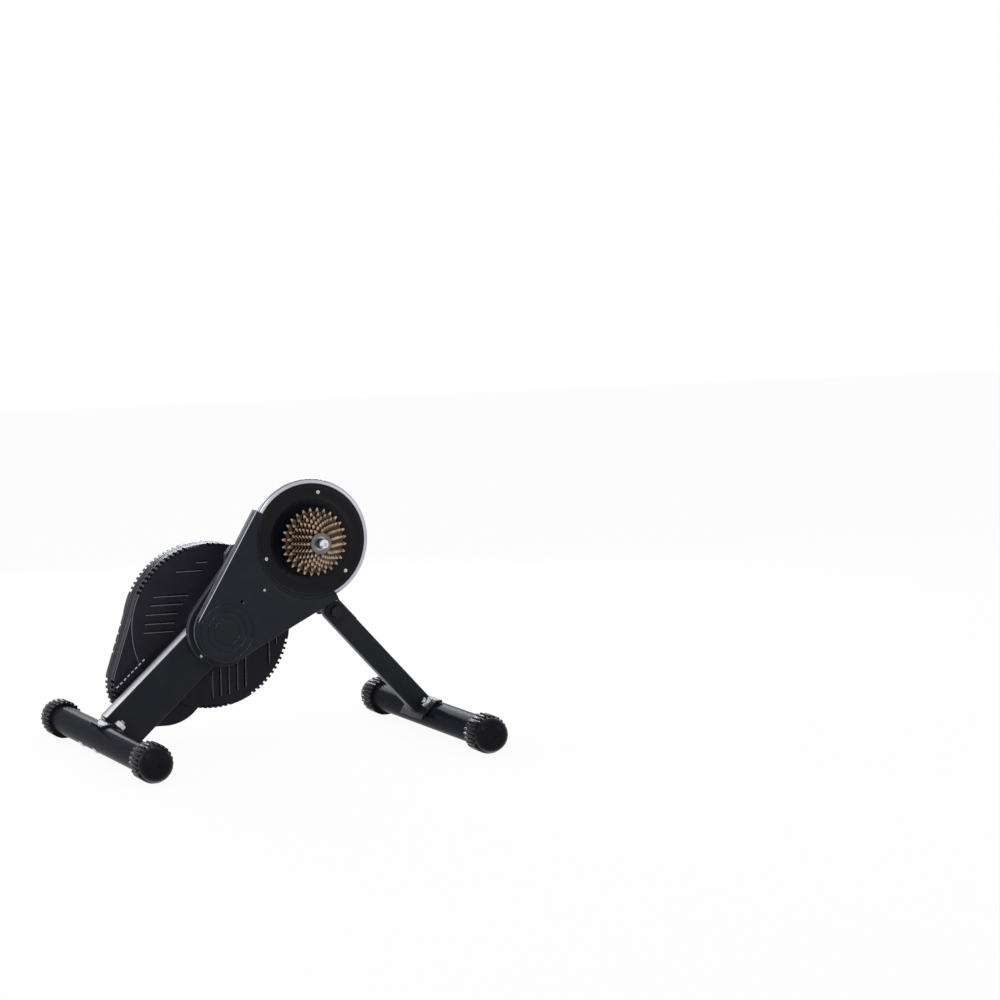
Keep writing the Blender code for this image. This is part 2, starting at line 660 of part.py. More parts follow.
def make_rear_saddle():
    """Bent plate: flat under the beam's end, with a hook over the tube's top and a turned-up lip on its near part."""
    outer = SADDLE_OFFSET - GAP
    inner = outer - SADDLE_PLATE
    flat = -ACROSS_BEAM * SADDLE_TAIL
    end_outer = REAR_FOOT + outer * UP_BEAM + flat
    end_inner = REAR_FOOT + inner * UP_BEAM + flat
    near = BEAM_MIDDLE - REAR_SADDLE_HALF
    start = [(end_inner.x, end_inner.z), (end_outer.x, end_outer.z)]
    over = arc(REAR_FOOT, outer, LEAN, LEAN + SADDLE_OVER, 3)
    under = arc(REAR_FOOT, inner, LEAN + SADDLE_OVER, LEAN, 3)
    saddle = side_plate("rear_saddle", [start + over + under], near, near + 2 * REAR_SADDLE_HALF)
    root = arc(REAR_FOOT, outer, LEAN, HOOK_END, 9)
    along_lip = Vector((math.cos(LIP_HEADING), 0, math.sin(LIP_HEADING)))
    under_lip = Vector((-along_lip.z, 0, along_lip.x)) * SADDLE_PLATE
    tip = Vector((root[-1][0], 0, root[-1][1])) + LIP_LENGTH * along_lip
    low_tip = tip + under_lip
    profile = root + [(tip.x, tip.z), (low_tip.x, low_tip.z)]
    profile += arc(REAR_FOOT, inner, HOOK_END + math.radians(5), LEAN, 9)
    hook = side_plate("saddle_hook", [profile], near + 0.0001, near + HOOK_LENGTH, collection=cutters)
    join(saddle, hook)
    return cut(saddle, *bolt_hole_cutters("rear", REAR_FOOT, UP_BEAM, BEAM_MIDDLE, REAR_BOLT_SPACING))


def make_front_saddle():
    """Bent plate: flat under the leg's end, with both edges turned down round the tube."""
    outer = SADDLE_OFFSET - GAP
    inner = outer - SADDLE_PLATE
    up = -DOWN_LEG
    side = Vector((-up.z, 0, up.x)) * -1
    turned_points = ((0.0223, 0.0216), (outer, 0.0130), (outer, -0.0200), (0.0258, -0.0310),
                     (0.0223, -0.0290), (inner, -0.0190), (inner, 0.0110), (0.0193, 0.0186))
    profile = []
    for height, across in turned_points:
        place = FRONT_FOOT + height * up + across * side
        profile.append((place.x, place.z))
    near = LEG_MIDDLE - FRONT_SADDLE_HALF
    saddle = side_plate("front_saddle", [profile], near, near + 2 * FRONT_SADDLE_HALF)
    return cut(saddle, *bolt_hole_cutters("front", FRONT_FOOT, up, LEG_MIDDLE, FRONT_BOLT_SPACING))


def cap_outline():
    """Ribs over the top and sides, and a smooth pad below with a flat to stand on."""
    half_flat = math.acos(CAP_RADIUS / CAP_PAD_RADIUS)
    down = -math.pi / 2
    pad_start = down - CAP_PAD_ANGLE / 2
    centre = Vector((0, 0, 0))
    pad = arc(centre, CAP_PAD_RADIUS, pad_start, down - half_flat, 5)
    pad += arc(centre, CAP_PAD_RADIUS, down + half_flat, down + CAP_PAD_ANGLE / 2, 5)
    ribs = []
    free = 2 * math.pi - CAP_PAD_ANGLE
    count = round(free / CAP_PITCH)
    pitch = free / count
    for i in range(count):
        start = down + CAP_PAD_ANGLE / 2 + i * pitch
        for share, radius in ((0.10, CAP_GROOVE_RADIUS), (0.40, CAP_GROOVE_RADIUS),
                              (0.55, CAP_RADIUS), (0.92, CAP_RADIUS)):
            turn = start + share * pitch
            ribs.append((radius * math.cos(turn), radius * math.sin(turn)))
    return pad + ribs


def make_cap(name, centre, side, cap_edge):
    """A rubber end cap: ribbed ring, domed end and a socket for the tube."""
    inner_edge = cap_edge - CAP_RING
    matrix = frame((centre.x, 0, centre.z), (0, side, 0), (-side, 0, 0))
    cap = plate(name, [cap_outline()], inner_edge, cap_edge, matrix, BLACK_RUBBER)
    base = CAP_GROOVE_RADIUS - 0.0004
    sink = 0.0008
    dimple = 0.0015
    top = cap_edge + CAP_DOME
    dome = [(0, top - dimple), (dimple, top)]
    steps = 4
    for i in range(1, steps + 1):
        turn = math.pi / 2 * i / steps
        dome.append((base * math.sin(turn), cap_edge - sink + (CAP_DOME + sink) * math.cos(turn)))
    dome.append((0, cap_edge - sink))
    end = turned(f"{name}_dome", dome, matrix, BLACK_RUBBER, 18, collection=cutters)
    socket = bore(f"{name}_socket", TUBE_RADIUS + GAP, inner_edge - OVERSHOOT, inner_edge + CAP_SOCKET,
                 matrix, steps=20)
    return cut(join(cap, end), socket)


# Axle, hub, freehub and sprockets

def make_axle():
    ring("axle_tube", AXLE_RADIUS, AXLE_BORE, AXLE_NEAR, AXLE_FAR, AXLE, STEEL, 20)
    ring("axle_end_cap", END_CAP_RADIUS, AXLE_BORE, AXLE_NEAR - GAP - END_CAP_LENGTH, AXLE_NEAR - GAP, AXLE,
         ALUMINIUM, 20)
    flange_end = BEAM_FAR + GAP + BOSS_FLANGE_THICK
    turned("axle_boss", [
        (BOSS_NOSE_RADIUS, AXLE_FAR), (BOSS_NOSE_RADIUS, flange_end), (BOSS_FLANGE, flange_end), (BOSS_FLANGE, BEAM_FAR + GAP),
        (BOSS_RADIUS, BEAM_FAR + GAP), (BOSS_RADIUS, BEAM_NEAR), (AXLE_RADIUS + GAP, BEAM_NEAR),
        (AXLE_RADIUS + GAP, AXLE_FAR),
    ], round_y(AXLE), STEEL, 20, True)


def make_hub():
    flange_near = PULLEY_NEAR
    web_near = (PULLEY_NEAR + PULLEY_FAR - PULLEY_WEB) / 2
    turned("drive_hub", [
        (HUB_RADIUS, PULLEY_FAR), (HUB_RADIUS, web_near - GAP), (HUB_FLANGE, web_near - GAP),
        (HUB_FLANGE, flange_near), (HUB_RADIUS, flange_near), (HUB_RADIUS, HUB_NEAR),
        (HUB_BORE, HUB_NEAR), (HUB_BORE, PULLEY_FAR),
    ], round_y(AXLE), ALUMINIUM, 24, True)
    for label, near in (("near", HUB_NEAR + HUB_BEARING_INSET),
                        ("far", PULLEY_FAR - HUB_BEARING_INSET - BEARING_WIDTH)):
        ring(f"hub_bearing_{label}", HUB_BORE - GAP, AXLE_RADIUS + GAP, near, near + BEARING_WIDTH, AXLE, STEEL, 20)
    rim_inner = PULLEY_RADIUS - PULLEY_RIM
    web_far = web_near + PULLEY_WEB
    turned("drive_pulley", [
        (PULLEY_RADIUS, PULLEY_FAR), (PULLEY_RADIUS, PULLEY_NEAR), (rim_inner, PULLEY_NEAR),
        (rim_inner, web_near), (HUB_RADIUS + GAP, web_near), (HUB_RADIUS + GAP, web_far),
        (rim_inner, web_far), (rim_inner, PULLEY_FAR),
    ], round_y(AXLE), ALUMINIUM, 40, True)


def freehub_outline(radius, ridge):
    points = []
    for i in range(FREEHUB_RIDGES):
        start = 2 * math.pi * i / FREEHUB_RIDGES
        step = 2 * math.pi / FREEHUB_RIDGES
        for share, size in ((0.0, radius), (0.28, radius), (0.5, radius), (0.55, radius + ridge),
                            (0.95, radius + ridge)):
            turn = start + share * step
            points.append((size * math.cos(turn), size * math.sin(turn)))
    return points


def sprocket_outline(teeth):
    """Roller seats between tapered teeth."""
    pitch_radius = CHAIN_PITCH / 2 / math.sin(math.pi / teeth)
    root = pitch_radius - ROLLER_RADIUS
    tip = pitch_radius + TOOTH_RISE
    step = 2 * math.pi / teeth
    points = []
    for i in range(teeth):
        middle = i * step
        for share, radius in ((-0.22, root + 0.0004), (0.22, root + 0.0004), (0.43, tip), (0.57, tip)):
            turn = middle + share * step
            points.append((radius * math.cos(turn), radius * math.sin(turn)))
    return points


def make_cassette():
    matrix = round_y(AXLE)
    sides = 12
    bore_radius = (FREEHUB_RADIUS + FREEHUB_RIDGE + GAP) / math.cos(math.pi / sides)
    bore = flat_circle(bore_radius, sides)
    plate("freehub_body", [freehub_outline(FREEHUB_RADIUS, FREEHUB_RIDGE), flat_circle(AXLE_RADIUS + RUN, 24)],
          FREEHUB_NEAR, FREEHUB_FAR, matrix, STEEL)
    block_start = len(TEETH) - RIVETED
    block_name = "cogs_" + "_".join(str(teeth) for teeth in TEETH[block_start:])
    collar_inner = bore_radius + GAP / 4
    riveted = None
    for i, teeth in enumerate(TEETH):
        middle = COG_FIRST + i * COG_STEP
        low = middle - COG_THICK / 2
        high = middle + COG_THICK / 2
        name = block_name if i == block_start else f"cog_{teeth}"
        collection = cutters if i > block_start else parts
        cog = plate(name, [sprocket_outline(teeth), bore], low, high, matrix, SPROCKET_STEEL,
                    collection=collection)
        if i == block_start:
            riveted = cog
        elif i > block_start:
            join(riveted, cog)
        if i == len(TEETH) - 1:
            continue
        collar_end = high + COG_STEP - COG_THICK - GAP
        if i >= block_start:
            collar_end = middle + COG_STEP
        collar_outer = SPACER_RADIUS if i else SPACER_RADIUS - 0.0012
        collar = turned(f"cog_{teeth}_collar", [
            (collar_outer, collar_end), (collar_outer, middle), (collar_inner, middle),
            (collar_inner, collar_end),
        ], matrix, SPROCKET_STEEL, sides, True, cutters)
        join(riveted if i >= block_start else cog, collar)
    face = COG_FIRST - COG_THICK / 2 - GAP
    turned("lockring", [
        (LOCKRING_RADIUS, FREEHUB_NEAR - GAP), (LOCKRING_RADIUS, face), (LOCKRING_RADIUS + 0.0025, face),
        (LOCKRING_RADIUS + 0.0025, face - 0.0018), (LOCKRING_RADIUS - 0.0035, face - 0.0018),
        (LOCKRING_RADIUS - 0.0035, FREEHUB_NEAR - GAP),
    ], matrix, ALUMINIUM, 24, True)


# Skewer through the hollow axle

def make_skewer():
    near_face = AXLE_NEAR - GAP - END_CAP_LENGTH - DROPOUT
    nut_end = near_face - SKEWER_NUT_LENGTH
    far_face = AXLE_FAR + DROPOUT
    cam_y = far_face + CAM_CUP_LENGTH / 2
    open_way = Vector((math.cos(LEVER_ANGLE), 0, math.sin(LEVER_ANGLE)))
    cam_way = Vector((-open_way.z, 0, open_way.x))
    cup_end = far_face + CAM_CUP_LENGTH
    rod_piece = turned("skewer_rod", [
        (0, cup_end), (CAM_CUP_RADIUS - 0.001, cup_end), (CAM_CUP_RADIUS, cup_end - 0.001),
        (CAM_CUP_RADIUS, far_face), (SKEWER_RADIUS, far_face), (SKEWER_RADIUS, nut_end + 0.0005),
        (0, nut_end + 0.0005),
    ], round_y(AXLE), ZINC, 16)
    cam_hole = bore("cam_hole", CAM_RADIUS + GAP, -CAM_CUP_RADIUS - OVERSHOOT, CAM_CUP_RADIUS + OVERSHOOT,
                   frame((AXLE.x, cam_y, AXLE.z), cam_way), steps=20)
    cut(rod_piece, cam_hole)
    turned("skewer_nut", [
        (SKEWER_NUT_RADIUS, near_face), (SKEWER_NUT_RADIUS, nut_end + 0.004),
        (SKEWER_NUT_RADIUS - 0.0025, nut_end), (SKEWER_RADIUS + GAP, nut_end),
        (SKEWER_RADIUS + GAP, near_face),
    ], round_y(AXLE), ALUMINIUM, 20, True)
    matrix = frame((AXLE.x, cam_y, AXLE.z), cam_way, open_way)
    arm_low = CAM_CUP_RADIUS + 0.0006
    hub = Vector((0, 0, 0))
    tip = Vector((LEVER_LENGTH, 0, 0.003))
    lever = plate("skewer_lever", [two_circles(hub, 0.0070, tip, 0.0048, 16, 10)], arm_low,
                  arm_low + LEVER_THICK, matrix, ZINC, edge=0.0008)
    barrel = rod("lever_cam", CAM_RADIUS, -CAM_HALF, arm_low + LEVER_THICK / 2, matrix, steps=20,
                 collection=cutters)
    return join(lever, barrel)


# Belt case, belt and pulleys

def cover_outline(inset):
    """The teardrop cover: round at the shaft, straight sides, and a bay for the round cover."""
    end = COVER_END_RADIUS - inset
    top = COVER_TOP_RADIUS - inset
    inner = COVER_INNER_RADIUS + inset
    turn_in = inset / inner
    corner_angle = COVER_CORNER_ANGLE + turn_in
    corner = AXLE + (COVER_CORNER_RADIUS - inset * 1.2) * Vector(
        (math.cos(corner_angle), 0, math.sin(corner_angle)))
    way = corner - SHAFT
    left = math.atan2(way.z, way.x) - math.asin(end / way.length) + math.pi / 2
    spread = math.acos((top - end) / SHAFT_DISTANCE)
    right = LEAN + math.pi + spread
    tail = COVER_TAIL_ANGLE - turn_in
    points = [(corner.x, corner.z)]
    points += arc(SHAFT, end, left, right, 18)
    foot = top / math.cos(tail - right)
    points.append((AXLE.x + foot * math.cos(tail), AXLE.z + foot * math.sin(tail)))
    points += arc(AXLE, inner, tail, corner_angle, 20)
    return points


def case_back_outline(inset):
    return two_circles(AXLE, CASE_BACK_TOP - inset, SHAFT, FLANGE_RADIUS - inset, 34, 18)


def bump_outline(inset):
    """The idler's bulge on the upper edge of the belt case."""
    slope = math.asin((CASE_BACK_TOP - FLANGE_RADIUS) / SHAFT_DISTANCE)
    points = []
    for along, rise in ((0, -0.012), (BUMP_LENGTH, -0.012), (BUMP_LENGTH, 0.0), (BUMP_LENGTH * 0.72, BUMP_RISE),
                        (BUMP_LENGTH * 0.26, BUMP_RISE), (0, 0.0)):
        down = BUMP_FROM + along + (inset if along == 0 else -inset if along == BUMP_LENGTH else 0)
        edge_height = CASE_BACK_TOP / math.cos(slope) - down * math.tan(slope)
        place = on_beam(AXLE, down, edge_height + rise - (inset if rise > 0 else 0), 0)
        points.append((place.x, place.z))
    return points


def make_belt_case_back():
    back = side_plate("belt_case_back", [case_back_outline(0)], COVER_BACK + GAP, CASE_BACK_FACE,
                      material=BLACK_PLASTIC)
    bump = side_plate("case_bump", [bump_outline(0)], COVER_BACK + GAP + 0.0002, CASE_BACK_FACE - 0.0004,
                      collection=cutters)
    floor_face = CASE_BACK_FACE - CASE_BACK_PLATE
    hollow = side_plate("case_back_hollow", [case_back_outline(CASE_BACK_WALL)],
                        COVER_BACK - OVERSHOOT, floor_face, collection=cutters)
    past = (floor_face - OVERSHOOT, CASE_BACK_FACE + OVERSHOOT)
    axle_hole = bore("case_back_axle_hole", BOSS_RADIUS + GAP, *past, round_y(AXLE))
    shaft_hole = bore("case_back_shaft_hole", SHAFT_RADIUS + 3 * GAP, *past, round_y(SHAFT))
    idler_pin = rod("case_back_idler_pin", IDLER_PIN, PULLEY_NEAR + 0.0015, floor_face + 0.001,
                    round_y(idler_centre()), steps=16, collection=cutters)
    join(back, bump)
    cut(back, hollow, axle_hole, shaft_hole)
    return join(back, idler_pin)


def make_pulley_cover():
    """Round cover: flat face with shallow rings, rolled rim, and a mouth for the belt behind the belt cover."""
    face = DISC_NEAR
    bay = face + RECESS_DEPTH
    inner_face = face + DISC_WALL
    profile = [(DISC_BACK_RADIUS, DISC_BACK)]
    rim_steps = 3
    for i in range(rim_steps + 1):
        turn = math.pi / 2 * i / rim_steps
        profile.append((DISC_FACE_RADIUS + (DISC_RIM_RADIUS - DISC_FACE_RADIUS) * math.cos(turn),
                        face + 0.0100 - 0.0100 * math.sin(turn)))
    profile += [(RECESS_RADIUS, face), (RECESS_RADIUS - 0.0012, bay), (DISC_HOLE, bay),
                (DISC_HOLE, inner_face + RECESS_DEPTH), (DISC_INNER_RADIUS, inner_face + RECESS_DEPTH),
                (DISC_INNER_RADIUS, DISC_BACK)]
    cover = turned("pulley_cover", profile, round_y(AXLE), BLACK_PLASTIC, 44, True)
    mouth = side_plate("belt_mouth", [two_circles(AXLE, CASE_BACK_TOP + 2 * GAP, SHAFT, FLANGE_RADIUS + 2 * GAP)],
                       inner_face + RECESS_DEPTH + 0.0004, DISC_BACK + OVERSHOOT, collection=cutters)
    bump_mouth = side_plate("bump_mouth", [bump_outline(-2 * GAP)], COVER_BACK - GAP, DISC_BACK + OVERSHOOT,
                            collection=cutters)
    cut(cover, mouth, bump_mouth)
    for degrees in DISC_SCREW_ANGLES:
        turn = math.radians(degrees)
        place = AXLE + DISC_SCREW_RADIUS * Vector((math.cos(turn), 0, math.sin(turn)))
        hole = bore(f"disc_screw_hole_{degrees}", SCREW_HOLE, face - OVERSHOOT, face + SCREW_SINK,
                   round_y(place), steps=12)
        cut(cover, hole)
    return cover


def make_belt_cover():
    spare = 2 * COVER_EDGE
    cover = side_plate("belt_cover", [cover_outline(0)], COVER_NEAR, COVER_BACK + spare,
                       material=BLACK_PLASTIC, edge=COVER_EDGE)
    middle = (AXLE + SHAFT) / 2
    behind = block("behind_cover", (1, 2 * spare, 1), Matrix.Translation((middle.x, COVER_BACK + spare, middle.z)),
                   collection=cutters)
    cut(cover, behind)
    flange = side_plate("cover_flange", [case_back_outline(0)], COVER_BACK - FLANGE_THICK,
                        COVER_BACK - 0.0001, collection=cutters)
    hollow = side_plate("cover_hollow", [cover_outline(COVER_WALL)], COVER_NEAR + COVER_WALL,
                        COVER_BACK + OVERSHOOT, collection=cutters)
    disc_room = bore("cover_disc_room", DISC_RIM_RADIUS + GAP, DISC_NEAR - GAP, DISC_BACK + OVERSHOOT,
                    round_y(AXLE), steps=48)
    join(cover, flange)
    cut(cover, hollow, disc_room)
    return cover


def idler_centre():
    """Outside the belt's upper run, touching its back."""
    slope = math.asin((PULLEY_RADIUS - PINION_RADIUS) / SHAFT_DISTANCE)
    back = PULLEY_RADIUS + GAP + BELT_THICK
    height = (back + IDLER_RADIUS + GAP) / math.cos(slope) - IDLER_ALONG * math.tan(slope)
    return on_beam(AXLE, IDLER_ALONG, height, 0)


def make_belt_drive():
    middle = (PULLEY_NEAR + PULLEY_FAR) / 2
    near = middle - BELT_WIDTH / 2
    far = middle + BELT_WIDTH / 2
    outer = two_circles(AXLE, PULLEY_RADIUS + GAP + BELT_THICK, SHAFT, PINION_RADIUS + GAP + BELT_THICK, 32, 10)
    inner = two_circles(AXLE, PULLEY_RADIUS + GAP, SHAFT, PINION_RADIUS + GAP, 32, 10)
    side_plate("drive_belt", [outer, inner], near, far, material=BELT_RUBBER)
    ring("small_pulley", PINION_RADIUS, SHAFT_RADIUS + GAP, PULLEY_NEAR, PULLEY_FAR, SHAFT, STEEL, 24)
    ring("idler_pulley", IDLER_RADIUS, IDLER_PIN + GAP, near, far, idler_centre(), STEEL, 18)


# Flywheel, shaft, bearings and housing

def make_flywheel():
    low = FLY_MIDDLE - FLY_THICK / 2
    high = FLY_MIDDLE + FLY_THICK / 2
    rim_inner = FLY_RADIUS - FLY_RIM
    web_low = FLY_MIDDLE - FLY_WEB / 2
    web_high = FLY_MIDDLE + FLY_WEB / 2
    boss = FLY_BOSS_RADIUS
    inner = SHAFT_RADIUS + GAP
    boss_low = low - FLY_BOSS_REACH
    turned("flywheel", [
        (FLY_RADIUS, high), (FLY_RADIUS, low), (rim_inner, low), (rim_inner, web_low), (boss, web_low),
        (boss, boss_low), (inner, boss_low), (inner, high), (boss, high), (boss, web_high), (rim_inner, web_high),
        (rim_inner, high),
    ], round_y(SHAFT), CAST_IRON, 40, True)
    rod("flywheel_shaft", SHAFT_RADIUS, SHAFT_NEAR, SHAFT_FAR, round_y(SHAFT), STEEL)
    spigot_end = CASE_NEAR + CASE_WALL + 0.001
    turned("shaft_housing", [
        (HOUSING_SPIGOT, spigot_end), (HOUSING_SPIGOT, CASE_NEAR - GAP), (HOUSING_FLANGE, CASE_NEAR - GAP),
        (HOUSING_FLANGE, BEAM_FAR + GAP), (HOUSING_RADIUS, BEAM_FAR + GAP), (HOUSING_RADIUS, BEAM_NEAR + GAP),
        (SHAFT_BEARING_RADIUS + GAP, BEAM_NEAR + GAP), (SHAFT_BEARING_RADIUS + GAP, spigot_end),
    ], round_y(SHAFT), ALUMINIUM, 24, True)
    for label, near in (("near", BEAM_NEAR + HOUSING_INSET), ("far", spigot_end - HOUSING_INSET - BEARING_WIDTH)):
        ring(f"shaft_bearing_{label}", SHAFT_BEARING_RADIUS, SHAFT_RADIUS + GAP, near, near + BEARING_WIDTH,
             SHAFT, STEEL, 20)


# Flywheel casing in two shells

def vent_cutters(name, near, far):
    middle = (near + far) / 2
    boxes = []
    for left, right, z in SIDE_VENTS:
        boxes.append(((right - left, far - near, VENT_WIDTH), Matrix.Translation(((left + right) / 2, middle, z))))
    for x, low, high in LOW_VENTS:
        boxes.append(((VENT_WIDTH, far - near, high - low), Matrix.Translation((x, middle, (low + high) / 2))))
    return blocks(name, boxes)


def lobe_outline(inset):
    """From the disc's upper tangent round the lobe to where its circle meets the disc, and back inside the disc."""
    way = LOBE - SHAFT
    heading = math.atan2(way.z, way.x)
    tangent = heading - math.acos((CASE_RADIUS - LOBE_RADIUS) / way.length)
    low = LOBE + Vector((LOBE_FLAT, 0, 0))
    back = SHAFT - low
    meet = math.acos((back.length ** 2 + LOBE_RADIUS ** 2 - CASE_RADIUS ** 2) / (2 * back.length * LOBE_RADIUS))
    turn = math.atan2(back.z, back.x) - meet + math.radians(14)
    round_lobe = arc(LOBE, LOBE_RADIUS - inset, tangent, -0.5 * math.pi, 14)
    round_lobe += arc(low, LOBE_RADIUS - inset, -0.5 * math.pi, turn, 9)
    inside = [(LOBE.x - 0.6 * way.x, LOBE.z - 0.6 * way.z), (SHAFT.x, SHAFT.z)]
    start = arc(SHAFT, CASE_RADIUS - inset, tangent, tangent, 2)[:1]
    return round_lobe + inside + start


def make_case_shell(name, near_side):
    """One half of the casing, mirrored about the seam for the far side."""
    def span(low, high):
        if near_side:
            return low, high
        return 2 * CASE_SEAM - high, 2 * CASE_SEAM - low

    lobe_face = CASE_NEAR + CASE_SHOULDER
    seam = CASE_SEAM - GAP / 2
    shell = side_plate(name, [circle(SHAFT, CASE_RADIUS, 48)], *span(CASE_NEAR, seam), material=CASE_PLASTIC)
    lobe = side_plate(f"{name}_lobe", [lobe_outline(0.0005)], *span(lobe_face, seam - 0.0001), collection=cutters)
    room = side_plate(f"{name}_room", [circle(SHAFT, CASE_RADIUS - CASE_WALL, 48)],
                      *span(CASE_NEAR + CASE_WALL, seam + OVERSHOOT), collection=cutters)
    lobe_room = side_plate(f"{name}_lobe_room", [lobe_outline(CASE_WALL + 0.0008)],
                           *span(lobe_face + CASE_WALL, seam + 2 * OVERSHOOT), collection=cutters)
    join(shell, lobe)
    cut(shell, room, lobe_room)
    if near_side:
        cut(shell, vent_cutters("case_vents", CASE_NEAR - OVERSHOOT, lobe_face + CASE_WALL + OVERSHOOT))
        hole = bore("case_shaft_hole", HOUSING_SPIGOT + GAP, CASE_NEAR - OVERSHOOT, lobe_face + CASE_WALL,
                   round_y(SHAFT), steps=28)
        cut(shell, hole)
    return shell


# Brake, board and ports

def make_brake():
    heading = LEAN + math.pi
    low = heading - YOKE_HALF_ANGLE
    high = heading + YOKE_HALF_ANGLE
    near = CASE_SEAM - YOKE_HALF_WIDTH
    far = CASE_SEAM + YOKE_HALF_WIDTH
    profile = arc(SHAFT, YOKE_OUTER, low, high, 11) + arc(SHAFT, YOKE_INNER, high, low, 9)
    yoke = side_plate("brake_yoke", [profile], near, far, SHAFT, STEEL)
    fly_low = FLY_MIDDLE - FLY_THICK / 2 - RIM_CLEARANCE
    fly_high = FLY_MIDDLE + FLY_THICK / 2 + RIM_CLEARANCE
    room = bore("yoke_room", FLY_RADIUS + RIM_CLEARANCE + 0.001, fly_low, fly_high, round_y(SHAFT), steps=44)
    screw_matrix = frame(on_beam(SHAFT, 0, 0, CASE_SEAM), -UP_BEAM)
    screw_hole = bore("yoke_screw_hole", SCREW_RADIUS + GAP, FLY_RADIUS, YOKE_OUTER + OVERSHOOT, screw_matrix,
                     steps=16)
    cut(yoke, room, screw_hole)
    start, end = MOTOR_ALONG
    inside = CASE_HALF - CASE_SHOULDER - CASE_WALL
    motor = block("brake_motor", (end - start, MOTOR_SIDE, 2 * (inside - GAP)),
                  beam_frame(SHAFT, (start + end) / 2, 0, CASE_SEAM), CAST_IRON)
    lead_screw = rod("motor_screw", SCREW_RADIUS, YOKE_OUTER - SCREW_INTO_YOKE, start + 0.005, screw_matrix,
                     steps=16, collection=cutters)
    join(motor, lead_screw)


def make_board_and_ports():
    start, end = BOARD_ALONG
    low, high = BOARD_ACROSS
    wall = CASE_NEAR + CASE_WALL
    block("circuit_board", (end - start, high - low, BOARD_THICK),
          beam_frame(SHAFT, (start + end) / 2, (low + high) / 2, wall + GAP + BOARD_THICK / 2), BOARD_GREEN)
    start, end = BLOCK_ALONG
    low, high = BLOCK_ACROSS
    face = CASE_NEAR + CASE_SHOULDER - GAP
    middle = face - BLOCK_HEIGHT / 2
    port_block = block("port_block", (end - start, high - low, BLOCK_HEIGHT),
                       beam_frame(SHAFT, (start + end) / 2, (low + high) / 2, middle), CASE_PLASTIC)
    slots = []
    pitch = (end - start - 2 * BLOCK_END) / BLOCK_SLOTS
    slot_size = (pitch * 0.55, BLOCK_SLOT_DEPTH, BLOCK_HEIGHT * 0.45)
    for i in range(BLOCK_SLOTS):
        along = start + BLOCK_END + (i + 0.5) * pitch
        slots.append((slot_size, beam_frame(SHAFT, along, high, middle - BLOCK_SLOT_DEPTH / 2)))
    disc_room = bore("block_disc_room", CASE_RADIUS + GAP, CASE_NEAR - GAP, CASE_NEAR + BLOCK_HEIGHT,
                    round_y(SHAFT), steps=48)
    cut(port_block, disc_room, blocks("port_slots", slots))
    inlet_matrix = frame(on_beam(SHAFT, 0, (low + high) / 2, middle), -UP_BEAM)
    room = bore("inlet_room", INLET_RADIUS + GAP, end - INLET_LENGTH, end + OVERSHOOT, inlet_matrix, steps=20)
    cut(port_block, room)
    base = end - INLET_LENGTH + GAP
    turned("power_inlet", [
        (INLET_RADIUS, end + 0.001), (INLET_RADIUS, base), (0, base), (0, base + 0.002),
        (INLET_BORE, base + 0.002), (INLET_BORE, end + 0.001),
    ], inlet_matrix, BLACK_PLASTIC, 20, True)


make_main_beam()
make_leg_stub()
carry(make_front_leg())
make_fold_joint()
make_cross_tube("rear_tube", REAR_FOOT, REAR_CAP_EDGE, UP_BEAM, BEAM_MIDDLE, REAR_BOLT_SPACING)
carry(make_cross_tube("front_tube", FRONT_FOOT, FRONT_CAP_EDGE, -DOWN_LEG, LEG_MIDDLE, FRONT_BOLT_SPACING))
make_rear_saddle()
carry(make_front_saddle())
make_bolts("rear", REAR_FOOT, UP_BEAM, BEAM_MIDDLE, REAR_BOLT_SPACING)
carry(*make_bolts("front", FRONT_FOOT, -DOWN_LEG, LEG_MIDDLE, FRONT_BOLT_SPACING))
for place, foot, cap_edge in (("rear", REAR_FOOT, REAR_CAP_EDGE), ("front", FRONT_FOOT, FRONT_CAP_EDGE)):
    for label, side in (("near", -1), ("far", 1)):
        cap = make_cap(f"{place}_cap_{label}", foot, side, cap_edge)
        if place == "front":
            carry(cap)
make_axle()
make_hub()
make_cassette()
make_skewer()
make_belt_case_back()
make_pulley_cover()
make_belt_cover()
make_belt_drive()
make_flywheel()
make_case_shell("case_near", True)
make_case_shell("case_far", False)
make_brake()
make_board_and_ports()
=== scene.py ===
"""Looks of a folding direct-drive bike trainer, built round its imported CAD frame.

Lengths are metres, +X is the front, +Z is up, and -Y is the near side.
"""
import json
import math

import bmesh
import bpy
from mathutils import Matrix, Vector


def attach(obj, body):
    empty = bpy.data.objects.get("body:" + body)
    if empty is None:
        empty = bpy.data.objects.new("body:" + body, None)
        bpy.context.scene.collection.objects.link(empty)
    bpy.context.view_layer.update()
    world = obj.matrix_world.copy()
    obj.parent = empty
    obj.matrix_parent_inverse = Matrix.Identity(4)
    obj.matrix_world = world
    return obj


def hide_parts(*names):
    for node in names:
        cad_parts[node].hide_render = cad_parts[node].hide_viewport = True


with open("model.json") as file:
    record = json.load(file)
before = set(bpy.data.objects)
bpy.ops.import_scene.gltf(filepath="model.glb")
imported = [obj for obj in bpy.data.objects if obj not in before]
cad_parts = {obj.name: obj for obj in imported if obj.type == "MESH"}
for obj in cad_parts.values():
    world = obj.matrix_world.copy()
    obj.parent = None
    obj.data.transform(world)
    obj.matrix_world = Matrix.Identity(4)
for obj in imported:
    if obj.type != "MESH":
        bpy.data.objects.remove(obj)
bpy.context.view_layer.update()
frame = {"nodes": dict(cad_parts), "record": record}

# Sizes and places, as in the CAD model
LEAN = math.radians(42.5)
LEG_ANGLE = math.radians(-47.7)
AXLE = Vector((0.0777, 0, 0.3562))
UP_BEAM = Vector((math.cos(LEAN), 0, math.sin(LEAN)))
